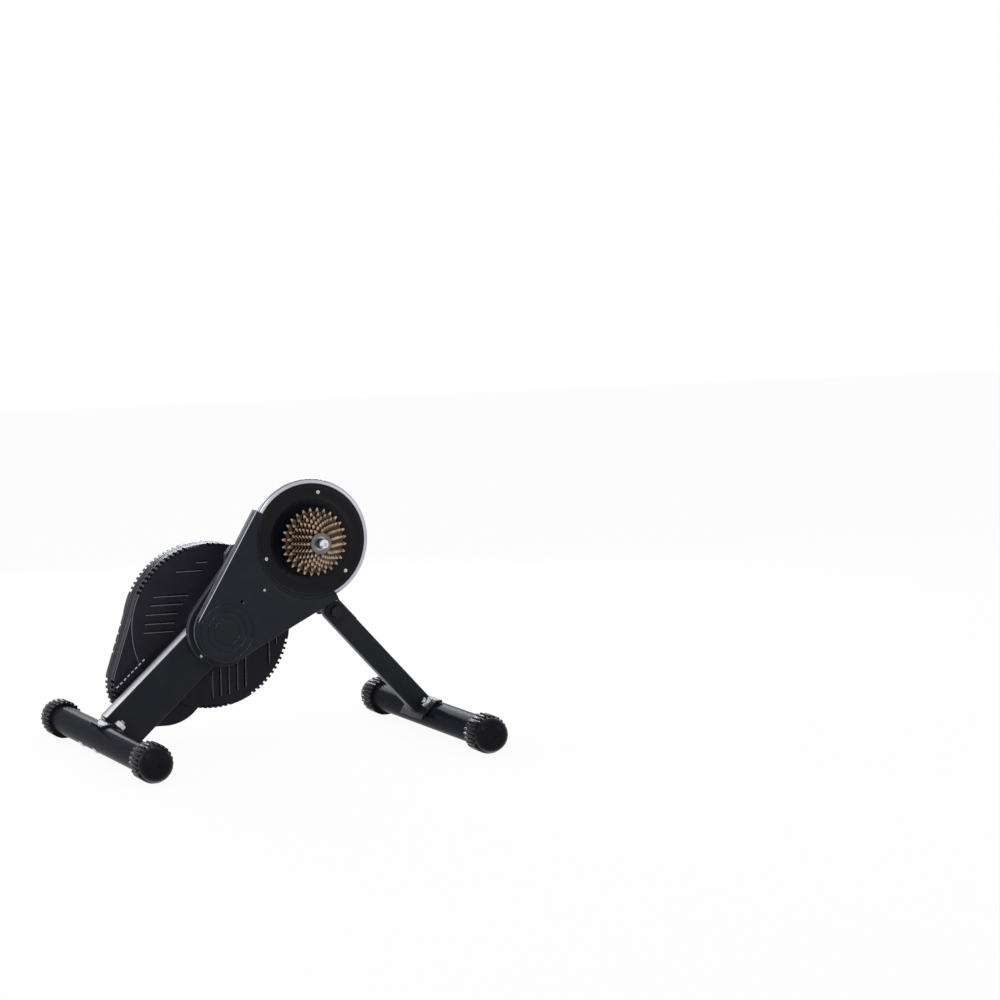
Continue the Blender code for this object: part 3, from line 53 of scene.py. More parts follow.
ACROSS_BEAM = Vector((-math.sin(LEAN), 0, math.cos(LEAN)))
DOWN_LEG = Vector((math.cos(LEG_ANGLE), 0, math.sin(LEG_ANGLE)))
OVER_LEG = Vector((-DOWN_LEG.z, 0, DOWN_LEG.x))
SHAFT_DISTANCE = 0.2195
SHAFT = AXLE - SHAFT_DISTANCE * UP_BEAM
LOBE_DISTANCE = 0.1410
LOBE = SHAFT - LOBE_DISTANCE * UP_BEAM
PIVOT = Vector((0.1205, 0, 0.2292))
CAP_RADIUS = 0.0332
REAR_FOOT = Vector((-0.3026, 0, CAP_RADIUS))
FRONT_FOOT = Vector((0.3026, 0, CAP_RADIUS))
REAR_CAP_EDGE = 0.2920
FRONT_CAP_EDGE = 0.2740
CAP_RING = 0.0440
CAP_DOME = 0.0240
TUBE_RADIUS = 0.0254
TUBE_WALL = 0.0025
SADDLE_OFFSET = 0.030
SADDLE_PLATE = 0.004
REAR_SADDLE_WIDTH, FRONT_SADDLE_WIDTH = 0.1262, 0.1046
REAR_BOLT_SPACING, FRONT_BOLT_SPACING = 0.0845, 0.066
BOLT_HOLE = 0.0052
BEAM_NEAR, BEAM_FAR, BEAM_DEPTH = 0.0141, 0.0521, 0.076
BEAM_MIDDLE = (BEAM_NEAR + BEAM_FAR) / 2
LEG_NEAR, LEG_FAR, LEG_WIDTH = -0.0113, 0.0137, 0.038
LEG_MIDDLE = (LEG_NEAR + LEG_FAR) / 2
CASE_RADIUS = 0.1460
LOBE_RADIUS = 0.0770
LOBE_FLAT = 0.0190
CASE_NEAR, CASE_SEAM, CASE_FAR = 0.0666, 0.0956, 0.1246
CASE_SHOULDER = 0.0040
COVER_NEAR, COVER_BACK = -0.0224, 0.0016
DISC_NEAR, DISC_BACK = -0.0059, 0.0131
DISC_RIM = 0.1090
DISC_SCREW_RADIUS, DISC_SCREW_TURNS = 0.0860, (79, 199, 319)
SCREW_SINK = 0.0009
BAY_NEAR_RADIUS, BAY_FAR_RADIUS = 0.1040, 0.0900
FLANGE_THICK = 0.0030
GAP = 0.0003
PAST = 0.01     # how far a cutter reaches past a face


# Materials

def surface(name, colour, roughness, metallic=0.0, grain=1200.0, bump=0.05, mottle=0.12, uneven=0.08,
            stretch=(1, 1, 1), gloss=0.5):
    """A Principled material with fine grain, mottled colour and uneven roughness."""
    material = bpy.data.materials.new(name)
    material.use_nodes = True
    nodes, links = material.node_tree.nodes, material.node_tree.links
    shader = nodes["Principled BSDF"]
    shader.inputs["Metallic"].default_value = metallic
    shader.inputs["Specular IOR Level"].default_value = gloss
    place = nodes.new("ShaderNodeTexCoord")
    mapping = nodes.new("ShaderNodeMapping")
    mapping.inputs["Scale"].default_value = stretch
    links.new(place.outputs["Object"], mapping.inputs["Vector"])

    def noise(scale, detail):
        node = nodes.new("ShaderNodeTexNoise")
        node.inputs["Scale"].default_value = scale
        node.inputs["Detail"].default_value = detail
        links.new(mapping.outputs["Vector"], node.inputs["Vector"])
        return node.outputs["Fac"]

    def spread(value, low, high):
        node = nodes.new("ShaderNodeMapRange")
        node.inputs["From Min"].default_value = 0.3
        node.inputs["From Max"].default_value = 0.7
        node.inputs["To Min"].default_value = low
        node.inputs["To Max"].default_value = high
        links.new(value, node.inputs["Value"])
        return node.outputs["Result"]

    def mix(amount, first, second):
        node = nodes.new("ShaderNodeMix")
        node.data_type = "RGBA"
        links.new(amount, node.inputs["Factor"])
        node.inputs["A"].default_value = (*first, 1)
        node.inputs["B"].default_value = (*second, 1)
        return node.outputs["Result"]

    broad = noise(38.0, 3.0)
    fine = noise(grain, 2.0)
    dark = tuple(c * (1 - mottle) for c in colour)
    light = tuple(min(1, c * (1 + mottle)) for c in colour)
    tone = mix(spread(broad, 0, 1), dark, light)
    links.new(tone, shader.inputs["Base Color"])
    rough = spread(broad, max(0.02, roughness - uneven), min(1, roughness + uneven))
    links.new(rough, shader.inputs["Roughness"])
    relief = nodes.new("ShaderNodeBump")
    relief.inputs["Strength"].default_value = bump
    relief.inputs["Distance"].default_value = 0.0004
    links.new(fine, relief.inputs["Height"])
    links.new(relief.outputs["Normal"], shader.inputs["Normal"])
    return material


LOOKS = {
    "satin_black_paint": surface("satin_black_paint", (0.0145, 0.0150, 0.0203), 0.34, grain=900, bump=0.04,
                                 uneven=0.04, gloss=0.10),
    "gloss_black_paint": surface("gloss_black_paint", (0.0122, 0.0126, 0.0195), 0.22, grain=900, bump=0.0,
                                 mottle=0.05, uneven=0.01, gloss=0.004),
    "cover_plastic": surface("cover_plastic", (0.0160, 0.0166, 0.0220), 0.36, grain=1600, bump=0.06,
                             uneven=0.04, gloss=0.11),
    "disc_plastic": surface("disc_plastic", (0.0062, 0.0061, 0.0086), 0.30, grain=1400, bump=0.05,
                            uneven=0.04, gloss=0.12),
    "case_plastic": surface("case_plastic", (0.0200, 0.0196, 0.0262), 0.36, grain=1300, bump=0.06,
                            uneven=0.05, gloss=0.05),
    "knob_plastic": surface("knob_plastic", (0.0070, 0.0070, 0.0080), 0.45, grain=1100, bump=0.10,
                            gloss=0.2),
    "inlet_plastic": surface("inlet_plastic", (0.0060, 0.0060, 0.0070), 0.22, grain=900, bump=0.04,
                             gloss=0.3),
    "cap_rubber": surface("cap_rubber", (0.0080, 0.0078, 0.0112), 0.26, grain=700, bump=0.03,
                          uneven=0.03, gloss=0.05),
    "belt_rubber": surface("belt_rubber", (0.012, 0.012, 0.012), 0.62, grain=900, bump=0.25, gloss=0.3),
    "zinc": surface("zinc", (0.46, 0.46, 0.47), 0.24, 1.0, grain=700, bump=0.08, mottle=0.08),
    "black_oxide": surface("black_oxide", (0.008, 0.008, 0.009), 0.38, grain=700, bump=0.10, gloss=0.2),
    "machined_steel": surface("machined_steel", (0.42, 0.42, 0.43), 0.30, 1.0, grain=300, bump=0.12,
                              mottle=0.08, stretch=(1, 9, 1)),
    "sprocket_steel": surface("sprocket_steel", (0.36, 0.26, 0.18), 0.20, 1.0, grain=420, bump=0.10,
                              mottle=0.45, uneven=0.10),
    "machined_aluminium": surface("machined_aluminium", (0.70, 0.70, 0.71), 0.26, 1.0, grain=360, bump=0.10,
                                  mottle=0.06, stretch=(1, 8, 1)),
    "flywheel_iron": surface("flywheel_iron", (0.10, 0.10, 0.11), 0.48, 1.0, grain=380, bump=0.15,
                             mottle=0.2),
    "board_green": surface("board_green", (0.006, 0.034, 0.015), 0.45, grain=260, bump=0.20, mottle=0.3),
}
RIM_SILVER = surface("rim_silver", (0.46, 0.46, 0.51), 0.30, 0.9, grain=700, bump=0.02, mottle=0.05)
# Painted highlight: a pale colour standing for light reflected off the beam's black upper face
PAINTED_TOP_HIGHLIGHT = surface("painted_top_highlight", (0.84, 0.84, 0.86), 0.34, grain=900, bump=0.03, mottle=0.03, uneven=0.04)
# Pale grey: the port fins' own colour, and a painted highlight line along the belt cover's upper-left edge
PALE_FIN_AND_PAINTED_HIGHLIGHT = surface("pale_fin_and_painted_highlight", (0.55, 0.55, 0.60), 0.34, grain=900, bump=0.03, mottle=0.03, uneven=0.04)
# Painted highlight: a grey standing for light caught on the vent lips, the casing rim's upper-left rounding
# and the belt cover's left wall
PAINTED_EDGE_HIGHLIGHT = surface("painted_edge_highlight", (0.165, 0.163, 0.192), 0.34, grain=900, bump=0.03, gloss=0.2)
# Painted highlight: a lighter grey over the belt case's back shell, standing for light caught on its
# rounded edges
SHELL_PAINTED_HIGHLIGHT = surface("shell_painted_highlight", (0.058, 0.057, 0.070), 0.36, grain=1300, bump=0.06, gloss=0.2)
DARK_STEEL = surface("dark_steel", (0.16, 0.16, 0.165), 0.30, 1.0, grain=400, bump=0.10, mottle=0.15)


def node_maths(tree, operation, first, second=0.0):
    """A Math node's output; each value is a number or a socket."""
    node = tree.nodes.new("ShaderNodeMath")
    node.operation = operation
    for value, socket in ((first, node.inputs[0]), (second, node.inputs[1])):
        if isinstance(value, (int, float)):
            socket.default_value = value
        else:
            tree.links.new(value, socket)
    return node.outputs[0]


def object_axes(tree):
    """The object-space X, Y and Z of a material; pieces and CAD nodes are all drawn in world axes."""
    split = tree.nodes.new("ShaderNodeSeparateXYZ")
    tree.links.new(tree.nodes.new("ShaderNodeTexCoord").outputs["Object"], split.inputs[0])
    return split.outputs


def ramp_between(tree, value, low, high):
    """0 at low and 1 at high."""
    node = tree.nodes.new("ShaderNodeMapRange")
    node.inputs["From Min"].default_value = low
    node.inputs["From Max"].default_value = high
    tree.links.new(value, node.inputs["Value"])
    return node.outputs["Result"]


def tint(material, amount, colour):
    """Mixes a colour over a material's own by an amount."""
    tree = material.node_tree
    base = tree.nodes["Principled BSDF"].inputs["Base Color"]
    own = base.links[0].from_socket
    node = tree.nodes.new("ShaderNodeMix")
    node.data_type = "RGBA"
    tree.links.new(amount, node.inputs["Factor"])
    tree.links.new(own, node.inputs["A"])
    node.inputs["B"].default_value = (*colour, 1)
    tree.links.new(node.outputs["Result"], base)


# Painted highlight on the beam's upper face, with painted shade darkening it towards its far edge beside
# the casing
SHADE_START_Y, SHADE_FULL_Y = 0.028, 0.049
pale = PAINTED_TOP_HIGHLIGHT.node_tree
tint(PAINTED_TOP_HIGHLIGHT, ramp_between(pale, object_axes(pale)[1], SHADE_START_Y, SHADE_FULL_Y), (0.020, 0.020, 0.026))

# Sprockets: painted shade darkens each sprocket's body below its teeth, by the distance from the axle and
# each sprocket's root radius
COG_FIRST, COG_STEP = -0.0596, 0.0048
SHADE_ENDS_ABOVE_ROOT, SHADE_FULL_ABOVE_ROOT = 0.0036, 0.0002
COG_ROOTS = (0.0186, 0.0226, 0.0266, 0.0307, 0.0347, 0.0387, 0.0447, 0.0528)
cogs = LOOKS["sprocket_steel"].node_tree
at_x, at_y, at_z = object_axes(cogs)
off_x = node_maths(cogs, "SUBTRACT", at_x, AXLE.x)
off_z = node_maths(cogs, "SUBTRACT", at_z, AXLE.z)
square_x, square_z = (node_maths(cogs, "MULTIPLY", off, off) for off in (off_x, off_z))
distance = node_maths(cogs, "SQRT", node_maths(cogs, "ADD", square_x, square_z))
root = COG_ROOTS[0]
for index in range(1, len(COG_ROOTS)):
    past = node_maths(cogs, "GREATER_THAN", at_y, COG_FIRST + (index - 0.5) * COG_STEP)
    rise = node_maths(cogs, "MULTIPLY", past, COG_ROOTS[index] - COG_ROOTS[index - 1])
    root = node_maths(cogs, "ADD", root, rise)
tooth = node_maths(cogs, "SUBTRACT", distance, root)
# Painted shade: a dark brown mixed over the steel below the teeth, standing for the shadow in the gaps
# between sprockets
tint(LOOKS["sprocket_steel"], ramp_between(cogs, tooth, SHADE_ENDS_ABOVE_ROOT, SHADE_FULL_ABOVE_ROOT), (0.055, 0.038, 0.027))
for part in frame["record"]["subparts"]:
    for holder in frame["nodes"][part["node"]].material_slots:
        holder.material = LOOKS[part["material_slot"]]


# Mesh helpers

cutters = []


def finish_piece(piece, body, slot, replaces=(), bevel=0.0, segments=2, material=None, angle=38):
    """Applies the piece's modifiers, rounds its edges, shades it, gives it the given material or else its
    slot's look, and ties it to its body.
    """
    bpy.context.view_layer.update()
    solid = bpy.data.meshes.new_from_object(piece.evaluated_get(bpy.context.evaluated_depsgraph_get()))
    piece.modifiers.clear()
    piece.data = solid
    if bevel:
        soften = piece.modifiers.new("soften", "BEVEL")
        soften.width = bevel
        soften.segments = segments
        soften.limit_method = "ANGLE"
        soften.angle_limit = math.radians(30)
    for face in piece.data.polygons:
        face.use_smooth = True
    piece.data.set_sharp_from_angle(angle=math.radians(angle))
    piece.data.materials.clear()
    piece.data.materials.append(material or LOOKS[slot])
    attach(piece, body)
    if replaces:
        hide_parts(*replaces)


def from_mesh(name, bm):
    bmesh.ops.recalc_face_normals(bm, faces=bm.faces)
    mesh = bpy.data.meshes.new(name)
    bm.to_mesh(mesh)
    bm.free()
    piece = bpy.data.objects.new(name, mesh)
    bpy.context.scene.collection.objects.link(piece)
    return piece


def loft(name, rings, matrix=Matrix.Identity(4), capped=True):
    """A closed skin through rings of equal point counts; each ring is a list of 3-D points."""
    bm = bmesh.new()
    loops = [[bm.verts.new(matrix @ Vector(p)) for p in ring] for ring in rings]
    for low, high in zip(loops, loops[1:]):
        for i in range(len(low)):
            j = (i + 1) % len(low)
            bm.faces.new((low[i], low[j], high[j], high[i]))
    if capped:
        bm.faces.new(loops[0])
        bm.faces.new(loops[-1])
    return from_mesh(name, bm)


def side_loft(name, outline, steps):
    """A plate drawn in world X and Z: steps are (inset, y), and outline takes the inset."""
    return loft(name, [[(x, y, z) for x, z in outline(inset)] for inset, y in steps])


def plate(name, points, near, far):
    """A plate of one outline between two world Y."""
    return loft(name, [[(x, y, z) for x, z in points] for y in (near, far)])


def turned(name, profile, matrix, steps=64, closed=False):
    """A turned piece from (radius, height) points round the matrix's local Z."""
    bm = bmesh.new()
    rings = []
    for radius, height in profile:
        if radius < 1e-7:
            rings.append([bm.verts.new(matrix @ Vector((0, 0, height)))])
            continue
        rings.append([bm.verts.new(matrix @ Vector((radius * math.cos(math.tau * i / steps),
                                                    radius * math.sin(math.tau * i / steps), height)))
                      for i in range(steps)])
    pairs = list(zip(rings, rings[1:]))
    if closed:
        pairs.append((rings[-1], rings[0]))
    for low, high in pairs:
        for i in range(steps):
            j = (i + 1) % steps
            corners = [low[i % len(low)], low[j % len(low)], high[j % len(high)], high[i % len(high)]]
            corners = list(dict.fromkeys(corners))
            if len(corners) > 2:
                bm.faces.new(corners)
    return from_mesh(name, bm)


def drill(name, radius, low, high, matrix, steps=64):
    """A solid cylinder between two heights on the matrix's local Z, to cut a hole with."""
    return turned(name, [(0, low), (radius, low), (radius, high), (0, high)], matrix, steps)


def blocks(name, boxes):
    """Boxes in one mesh: each is (size, matrix)."""
    bm = bmesh.new()
    for size, matrix in boxes:
        bmesh.ops.create_cube(bm, size=1, matrix=matrix @ Matrix.Diagonal((*size, 1)))
    return from_mesh(name, bm)


def combine(piece, tool, operation):
    """Adds a Boolean; the tool is taken away at the end of the script."""
    step = piece.modifiers.new("shape", "BOOLEAN")
    step.operation = operation
    step.solver = "EXACT"
    step.object = tool
    cutters.append(tool)


def cut(piece, *tools):
    for tool in tools:
        combine(piece, tool, "DIFFERENCE")


def join(piece, *tools):
    for tool in tools:
        combine(piece, tool, "UNION")


def axes(place, z_axis, x_axis=None):
    """A frame at a place with local Z along z_axis, and local X near x_axis."""
    z = Vector(z_axis).normalized()
    if x_axis is None:
        x_axis = (0, 0, 1) if abs(z.z) < 0.9 else (1, 0, 0)
    x = Vector(x_axis)
    x = (x - x.dot(z) * z).normalized()
    y = z.cross(x)
    return Matrix(((x.x, y.x, z.x, place[0]), (x.y, y.y, z.y, place[1]), (x.z, y.z, z.z, place[2]),
                   (0, 0, 0, 1)))


def round_y(centre):
    """Local Z along world +Y, so heights of a turned profile are world Y."""
    return axes((centre.x, 0, centre.z), (0, 1, 0))


def outward(turn):
    """The direction at a turn from +X towards +Z."""
    return Vector((math.cos(turn), 0, math.sin(turn)))


def turn_point(centre, radius, turn):
    """A point round a centre in world X and Z, at the centre's own Y."""
    return centre + radius * outward(turn)


def arc(centre, radius, start, end, count):
    """Pairs of world X and Z round a centre."""
    turns = [start + (end - start) * i / (count - 1) for i in range(count)]
    return [(centre.x + radius * math.cos(a), centre.z + radius * math.sin(a)) for a in turns]


def rounded_edge(corner, near, count=6):
    """Pairs of inset and world Y round an edge, from the near face to the full outline."""
    turns = [math.pi / 2 * i / (count - 1) for i in range(count)]
    return [(corner * (1 - math.sin(turn)), near + corner * (1 - math.cos(turn))) for turn in turns]


def both_edges(corner, near, far):
    """The steps of a plate with its near and far edges rounded."""
    steps = rounded_edge(corner, near)
    return steps + [(inset, near + far - y) for inset, y in reversed(steps)]


def beam_place(origin, along, across, y):
    """A point down the beam from an origin and across it, at a world Y."""
    place = origin - along * UP_BEAM + across * ACROSS_BEAM
    return Vector((place.x, y, place.z))


def rounded_ring(half_wide, half_tall, radius, count=7):
    """A rounded rectangle's points as pairs."""
    points = []
    for k, (sx, sy) in enumerate(((1, 1), (-1, 1), (-1, -1), (1, -1))):
        for i in range(count):
            turn = math.pi / 2 * (k + i / (count - 1))
            points.append((sx * (half_wide - radius) + radius * math.cos(turn),
                           sy * (half_tall - radius) + radius * math.sin(turn)))
    return points


# Camera

CAMERA_PLACE = (-2.0140, -5.8987, 0.9983)
YAW, PITCH, ROLL = math.radians(22.60), math.radians(5.27), math.radians(-0.93)
ahead = Vector((math.sin(YAW) * math.cos(PITCH), math.cos(YAW) * math.cos(PITCH), -math.sin(PITCH)))
right = Vector((math.cos(YAW), -math.sin(YAW), 0))
above = right.cross(ahead)
turned_right = math.cos(ROLL) * right + math.sin(ROLL) * above
turned_up = -math.sin(ROLL) * right + math.cos(ROLL) * above
camera = bpy.data.objects.new("camera", bpy.data.cameras.new("camera"))
bpy.context.scene.collection.objects.link(camera)
camera.data.lens = 129.024
camera.data.sensor_width = 36
camera.data.clip_end = 60
camera.matrix_world = Matrix((
    (turned_right.x, turned_up.x, -ahead.x, CAMERA_PLACE[0]),
    (turned_right.y, turned_up.y, -ahead.y, CAMERA_PLACE[1]),
    (turned_right.z, turned_up.z, -ahead.z, CAMERA_PLACE[2]), (0, 0, 0, 1)))
bpy.context.scene.camera = camera


# Beam, leg, tubes and feet

def make_beam():
    rear_end = (AXLE - REAR_FOOT).dot(UP_BEAM) - SADDLE_OFFSET
    half = BEAM_DEPTH / 2
    wall = 0.0025

    def outline(inset):
        lower = AXLE - rear_end * UP_BEAM
        side = (half - inset) * ACROSS_BEAM
        head = arc(AXLE, half - inset, LEAN - math.pi / 2, LEAN + math.pi / 2, 33)
        return head + [((lower + side).x, (lower + side).z), ((lower - side).x, (lower - side).z)]

    beam = side_loft("beam_skin", outline, both_edges(0.0035, BEAM_NEAR, BEAM_FAR))
    past = (BEAM_NEAR - PAST, BEAM_FAR + PAST)
    axle_hole = drill("beam_axle_hole", 0.0212, *past, round_y(AXLE))
    shaft_hole = drill("beam_shaft_hole", 0.0203, *past, round_y(SHAFT))
    hollow = side_loft("beam_room", lambda inset: outline(inset + wall),
                       [(0, BEAM_NEAR + wall), (0, BEAM_FAR - wall)])
    cut(beam, hollow, axle_hole, shaft_hole)
    finish_piece(beam, "stand", "satin_black_paint", ("main_beam",), angle=50)
    beam.data.materials.append(PAINTED_TOP_HIGHLIGHT)
    # Faces of the beam's upper face below the axle take the painted highlight
    for face in beam.data.polygons:
        outside = (face.center - AXLE).dot(ACROSS_BEAM) > half - 0.0012
        if outside and face.normal.dot(ACROSS_BEAM) > 0.93 and (face.center - AXLE).dot(UP_BEAM) < -0.01:
            face.material_index = 1


def make_cross_tube(name, centre, cap_edge, body, replaced):
    inside_cap = 0.0297
    end = cap_edge - CAP_RING + inside_cap
    tube = turned(name, [(TUBE_RADIUS, -end), (TUBE_RADIUS, end), (TUBE_RADIUS - TUBE_WALL, end),
                         (TUBE_RADIUS - TUBE_WALL, -end)], round_y(centre), 72, True)
    finish_piece(tube, body, "gloss_black_paint", (replaced,), bevel=0.0004)


def make_cap(name, centre, side, cap_edge, body):
    """Ribbed ring with rounded rib ends, a smooth pad below, a plain band, and a dome with a dimple."""
    matrix = axes((centre.x, 0, centre.z), (0, side, 0), (0, 0, 1))
    inner = cap_edge - CAP_RING
    groove, pad = 0.0304, 0.0335
    ribs, pad_samples = 17, 34
    samples = ribs * 12
    ribbed = math.radians(260)
    plain = math.tau - ribbed

    def rib_height(turn):
        """Share of a rib's height round the ring: turn runs from the top, both ways."""
        phase = (turn + ribbed / 2) / (ribbed / ribs) % 1
        rise = 0.5 - 0.5 * math.cos(math.tau * phase)
        return max(0.0, min(1.0, (rise - 0.28) / 0.40))

    turns = [-ribbed / 2 + ribbed * i / samples for i in range(samples)]
    turns += [ribbed / 2 + plain * i / pad_samples for i in range(pad_samples)]
    rings = []
    for along, depth, shave in ((0.0, 0.0, 0.0012), (0.0006, 0.3, 0.0004), (0.0016, 0.7, 0.0),
                                (0.0030, 1.0, 0.0), (0.60, 1.0, 0.0), (0.9, 1.0, 0.0), (0.94, 0.9, 0.0),
                                (0.97, 0.55, 0.0), (0.985, 0.2, 0.0001), (1.0, 0.0, 0.0003)):
        y = inner + (along if along < 0.01 else along * CAP_RING)
        ring = []
        for turn in turns:
            if turn >= ribbed / 2:
                flat = CAP_RADIUS / max(0.2, math.cos(math.pi - turn))
                radius = min(pad, flat) - shave
                if along > 0.9:
                    radius = radius - (radius - groove) * (along - 0.9) * 10 * 0.6
            else:
                radius = groove - shave + (CAP_RADIUS - groove) * rib_height(turn) * depth
            ring.append((radius * math.cos(turn), radius * math.sin(turn), y))
        rings.append(ring)
    dome_radius, lift, dome_steps = 0.0300, 0.0012, 15
    for i in range(1, dome_steps):
        turn = math.pi / 2 * i / dome_steps
        radius = dome_radius * math.cos(turn) ** 0.82
        y = cap_edge + lift + (CAP_DOME - lift) * math.sin(turn) ** 0.96
        rings.append([(radius * math.cos(a), radius * math.sin(a), y) for a in turns])
    for radius, drop in ((0.0030, 0.0), (0.0022, 0.0002), (0.0016, 0.0014), (0.0004, 0.0018)):
        y = cap_edge + CAP_DOME - drop
        rings.append([(radius * math.cos(a), radius * math.sin(a), y) for a in turns])
    cap = loft(name, rings, matrix)
    cut(cap, drill(f"{name}_socket", TUBE_RADIUS + GAP, inner - 0.004, inner + 0.0300,
                   axes((centre.x, 0, centre.z), (0, side, 0))))
    finish_piece(cap, body, "cap_rubber", (body,), angle=40)


make_beam()
for place, foot, edge, rider in (("rear", REAR_FOOT, REAR_CAP_EDGE, "stand"),
                                 ("front", FRONT_FOOT, FRONT_CAP_EDGE, "front_leg")):
    make_cross_tube(f"{place}_tube_skin", foot, edge, rider, f"{place}_tube")
    for label, side in (("near", -1), ("far", 1)):
        make_cap(f"{place}_cap_{label}_skin", foot, side, edge, f"{place}_cap_{label}")


# Casing

def disc_outline(inset, steps=144):
    return arc(SHAFT, CASE_RADIUS - inset, 0, math.tau * (steps - 1) / steps, steps)


def lobe_outline(inset):
    """The casing's lower lobe, flat at its foot, drawn from the disc's tangent round to its far side."""
    way = LOBE - SHAFT
    heading = math.atan2(way.z, way.x)
    tangent = heading - math.acos((CASE_RADIUS - LOBE_RADIUS) / way.length)
    low = LOBE + Vector((LOBE_FLAT, 0, 0))
    back = SHAFT - low
    squares = back.length ** 2 + LOBE_RADIUS ** 2 - CASE_RADIUS ** 2
    meet = math.acos(squares / (2 * back.length * LOBE_RADIUS))
    turn = math.atan2(back.z, back.x) - meet + math.radians(14)
    outline = arc(LOBE, LOBE_RADIUS - inset, tangent, -0.5 * math.pi, 40)
    outline += arc(low, LOBE_RADIUS - inset, -0.5 * math.pi, turn, 26)
    outline += [(LOBE.x - 0.6 * way.x, LOBE.z - 0.6 * way.z), (SHAFT.x, SHAFT.z)]
    outline += arc(SHAFT, CASE_RADIUS - inset, tangent, tangent, 2)[:1]
    return outline


# Level vents as (left X, right X, Z), upright vents as (X, low Z, high Z), and the rims' rows of notches
# as (first degrees, last degrees, pitch)
SIDE_VENTS = ((-0.1880, -0.1246, 0.2667), (-0.1933, -0.1348, 0.2520), (-0.2033, -0.1449, 0.2361),
              (-0.2055, -0.1510, 0.2199), (-0.2079, -0.1530, 0.2049), (-0.1095, -0.0890, 0.3230),
              (-0.1466, -0.0989, 0.3087))
LOW_VENTS = ((-0.0858, 0.0799, 0.1278), (-0.0707, 0.0824, 0.1338), (-0.0555, 0.0849, 0.1400),
             (-0.0395, 0.0909, 0.1460), (-0.0243, 0.0951, 0.1520), (0.0201, 0.1348, 0.1760),
             (0.0340, 0.1678, 0.1800))
RIM_NOTCHES = ((108, 155, 3.75), (64, 93, 3.75), (-59, -14, 3.75), (-97, -75, 3.75))
LOBE_NOTCHES = ((174, 236, 7.0),)
RIM_GAPS, RIM_GAP_TURN = (0.335, 0.460, 0.595, 0.730), math.radians(161.8)
NOTCH_SIZE = (0.0105, 0.0050, 0.0170)
RIM_GAP_SIZE = (0.0060, 0.0036, 0.0140)


def make_case(name, near_side, replaced):
    """One half of the flywheel casing: disc and lobe, notched rim, vents with lips in a painted highlight,
    and its hollow; the rim's upper-left rounding also gets the painted highlight.
    """
    def y_at(depth):
        """World Y at a depth from this half's own face towards the seam."""
        return CASE_NEAR + depth if near_side else CASE_FAR - depth

    def notch(size, spot, depth, out):
        return size, axes((spot.x, y_at(depth), spot.z), (0, 1, 0), out)

    half = CASE_SEAM - CASE_NEAR - GAP / 2
    round_steps = [(0.0032, 0.0), (0.0018, 0.0003), (0.0008, 0.0010), (0.0002, 0.0020), (0.0, 0.0034)]
    groove = [(0.0, half - 0.0066), (0.0013, half - 0.0060), (0.0013, half - 0.0036), (0.0, half - 0.0030)]
    disc = side_loft(name, disc_outline, [(i, y_at(d)) for i, d in round_steps + groove + [(0.0, half)]])
    lobe_steps = [(i + 0.0005, CASE_SHOULDER + d) for i, d in round_steps]
    lobe_steps += [(i + 0.0005, d) for i, d in groove] + [(0.0005, half - 0.0001)]
    lobe = side_loft(f"{name}_lobe", lobe_outline, [(i, y_at(d)) for i, d in lobe_steps])
    wall = 0.0028
    room = side_loft(f"{name}_room", lambda i: disc_outline(i, 96),
                     [(0.0064, y_at(wall)), (0.0064, y_at(half + 0.003))])
    lobe_room = side_loft(f"{name}_lobe_room", lobe_outline,
                          [(0.0072, y_at(CASE_SHOULDER + wall)), (0.0072, y_at(half + 0.004))])
    notches = []
    for centre, radius, face, groups in ((SHAFT, CASE_RADIUS, 0.0, RIM_NOTCHES),
                                         (LOBE, LOBE_RADIUS, CASE_SHOULDER, LOBE_NOTCHES)):
        for first, last, pitch in groups:
            for i in range(int((last - first) / pitch) + 1):
                out = outward(math.radians(first + i * pitch))
                notches.append(notch(NOTCH_SIZE, centre + (radius - 0.0005) * out, face + 0.0060, out))
    if not near_side:
        out = outward(RIM_GAP_TURN)
        for share in RIM_GAPS:
            spot = (SHAFT + CASE_RADIUS * out).lerp(LOBE + LOBE_RADIUS * out, share)
            notches.append(notch(RIM_GAP_SIZE, spot, CASE_SHOULDER + 0.0050, out))
    slots, highlight_lips = [], []
    for left, end, z in SIDE_VENTS:
        x = (left + end) / 2
        slots.append(((end - left, 0.016, 0.0030), Matrix.Translation((x, y_at(0.003), z))))
        highlight_lips.append(((end - left, 0.0018, 0.0013), Matrix.Translation((x, y_at(0.0), z - 0.0020))))
    for x, low, high in LOW_VENTS:
        z = (low + high) / 2
        slots.append(((0.0030, 0.012, high - low), Matrix.Translation((x, y_at(0.003), z))))
        highlight_lips.append(((0.0012, 0.0016, high - low), Matrix.Translation((x + 0.0020, y_at(0.0), z))))
    # The lips' grey is a painted highlight along each vent's edge
    finish_piece(blocks(f"{name}_lips", highlight_lips), "stand", "case_plastic", bevel=0.0003, material=PAINTED_EDGE_HIGHLIGHT)
    join(disc, lobe)
    cut(disc, room, lobe_room, blocks(f"{name}_notches", notches), blocks(f"{name}_slots", slots))
    if near_side:
        cut(disc, drill("case_hole", 0.0243, CASE_NEAR - PAST, CASE_NEAR + 2 * PAST, round_y(SHAFT)))
    finish_piece(disc, "stand", "case_plastic", (replaced,), angle=28)
    # Painted highlight on the upper-left rounding of the rim and shoulder
    disc.data.materials.append(PAINTED_EDGE_HIGHLIGHT)
    for face in disc.data.polygons:
        depth = face.center.y - CASE_NEAR if near_side else CASE_FAR - face.center.y
        rounded = any(0.0002 < depth - start < 0.0012 for start in (0, CASE_SHOULDER))
        if rounded and 0.2 < abs(face.normal.y) < 0.95 and face.center.x < -0.10 and face.center.z > 0.09:
            face.material_index = 1


make_case("case_near_skin", True, "case_near")
make_case("case_far_skin", False, "case_far")


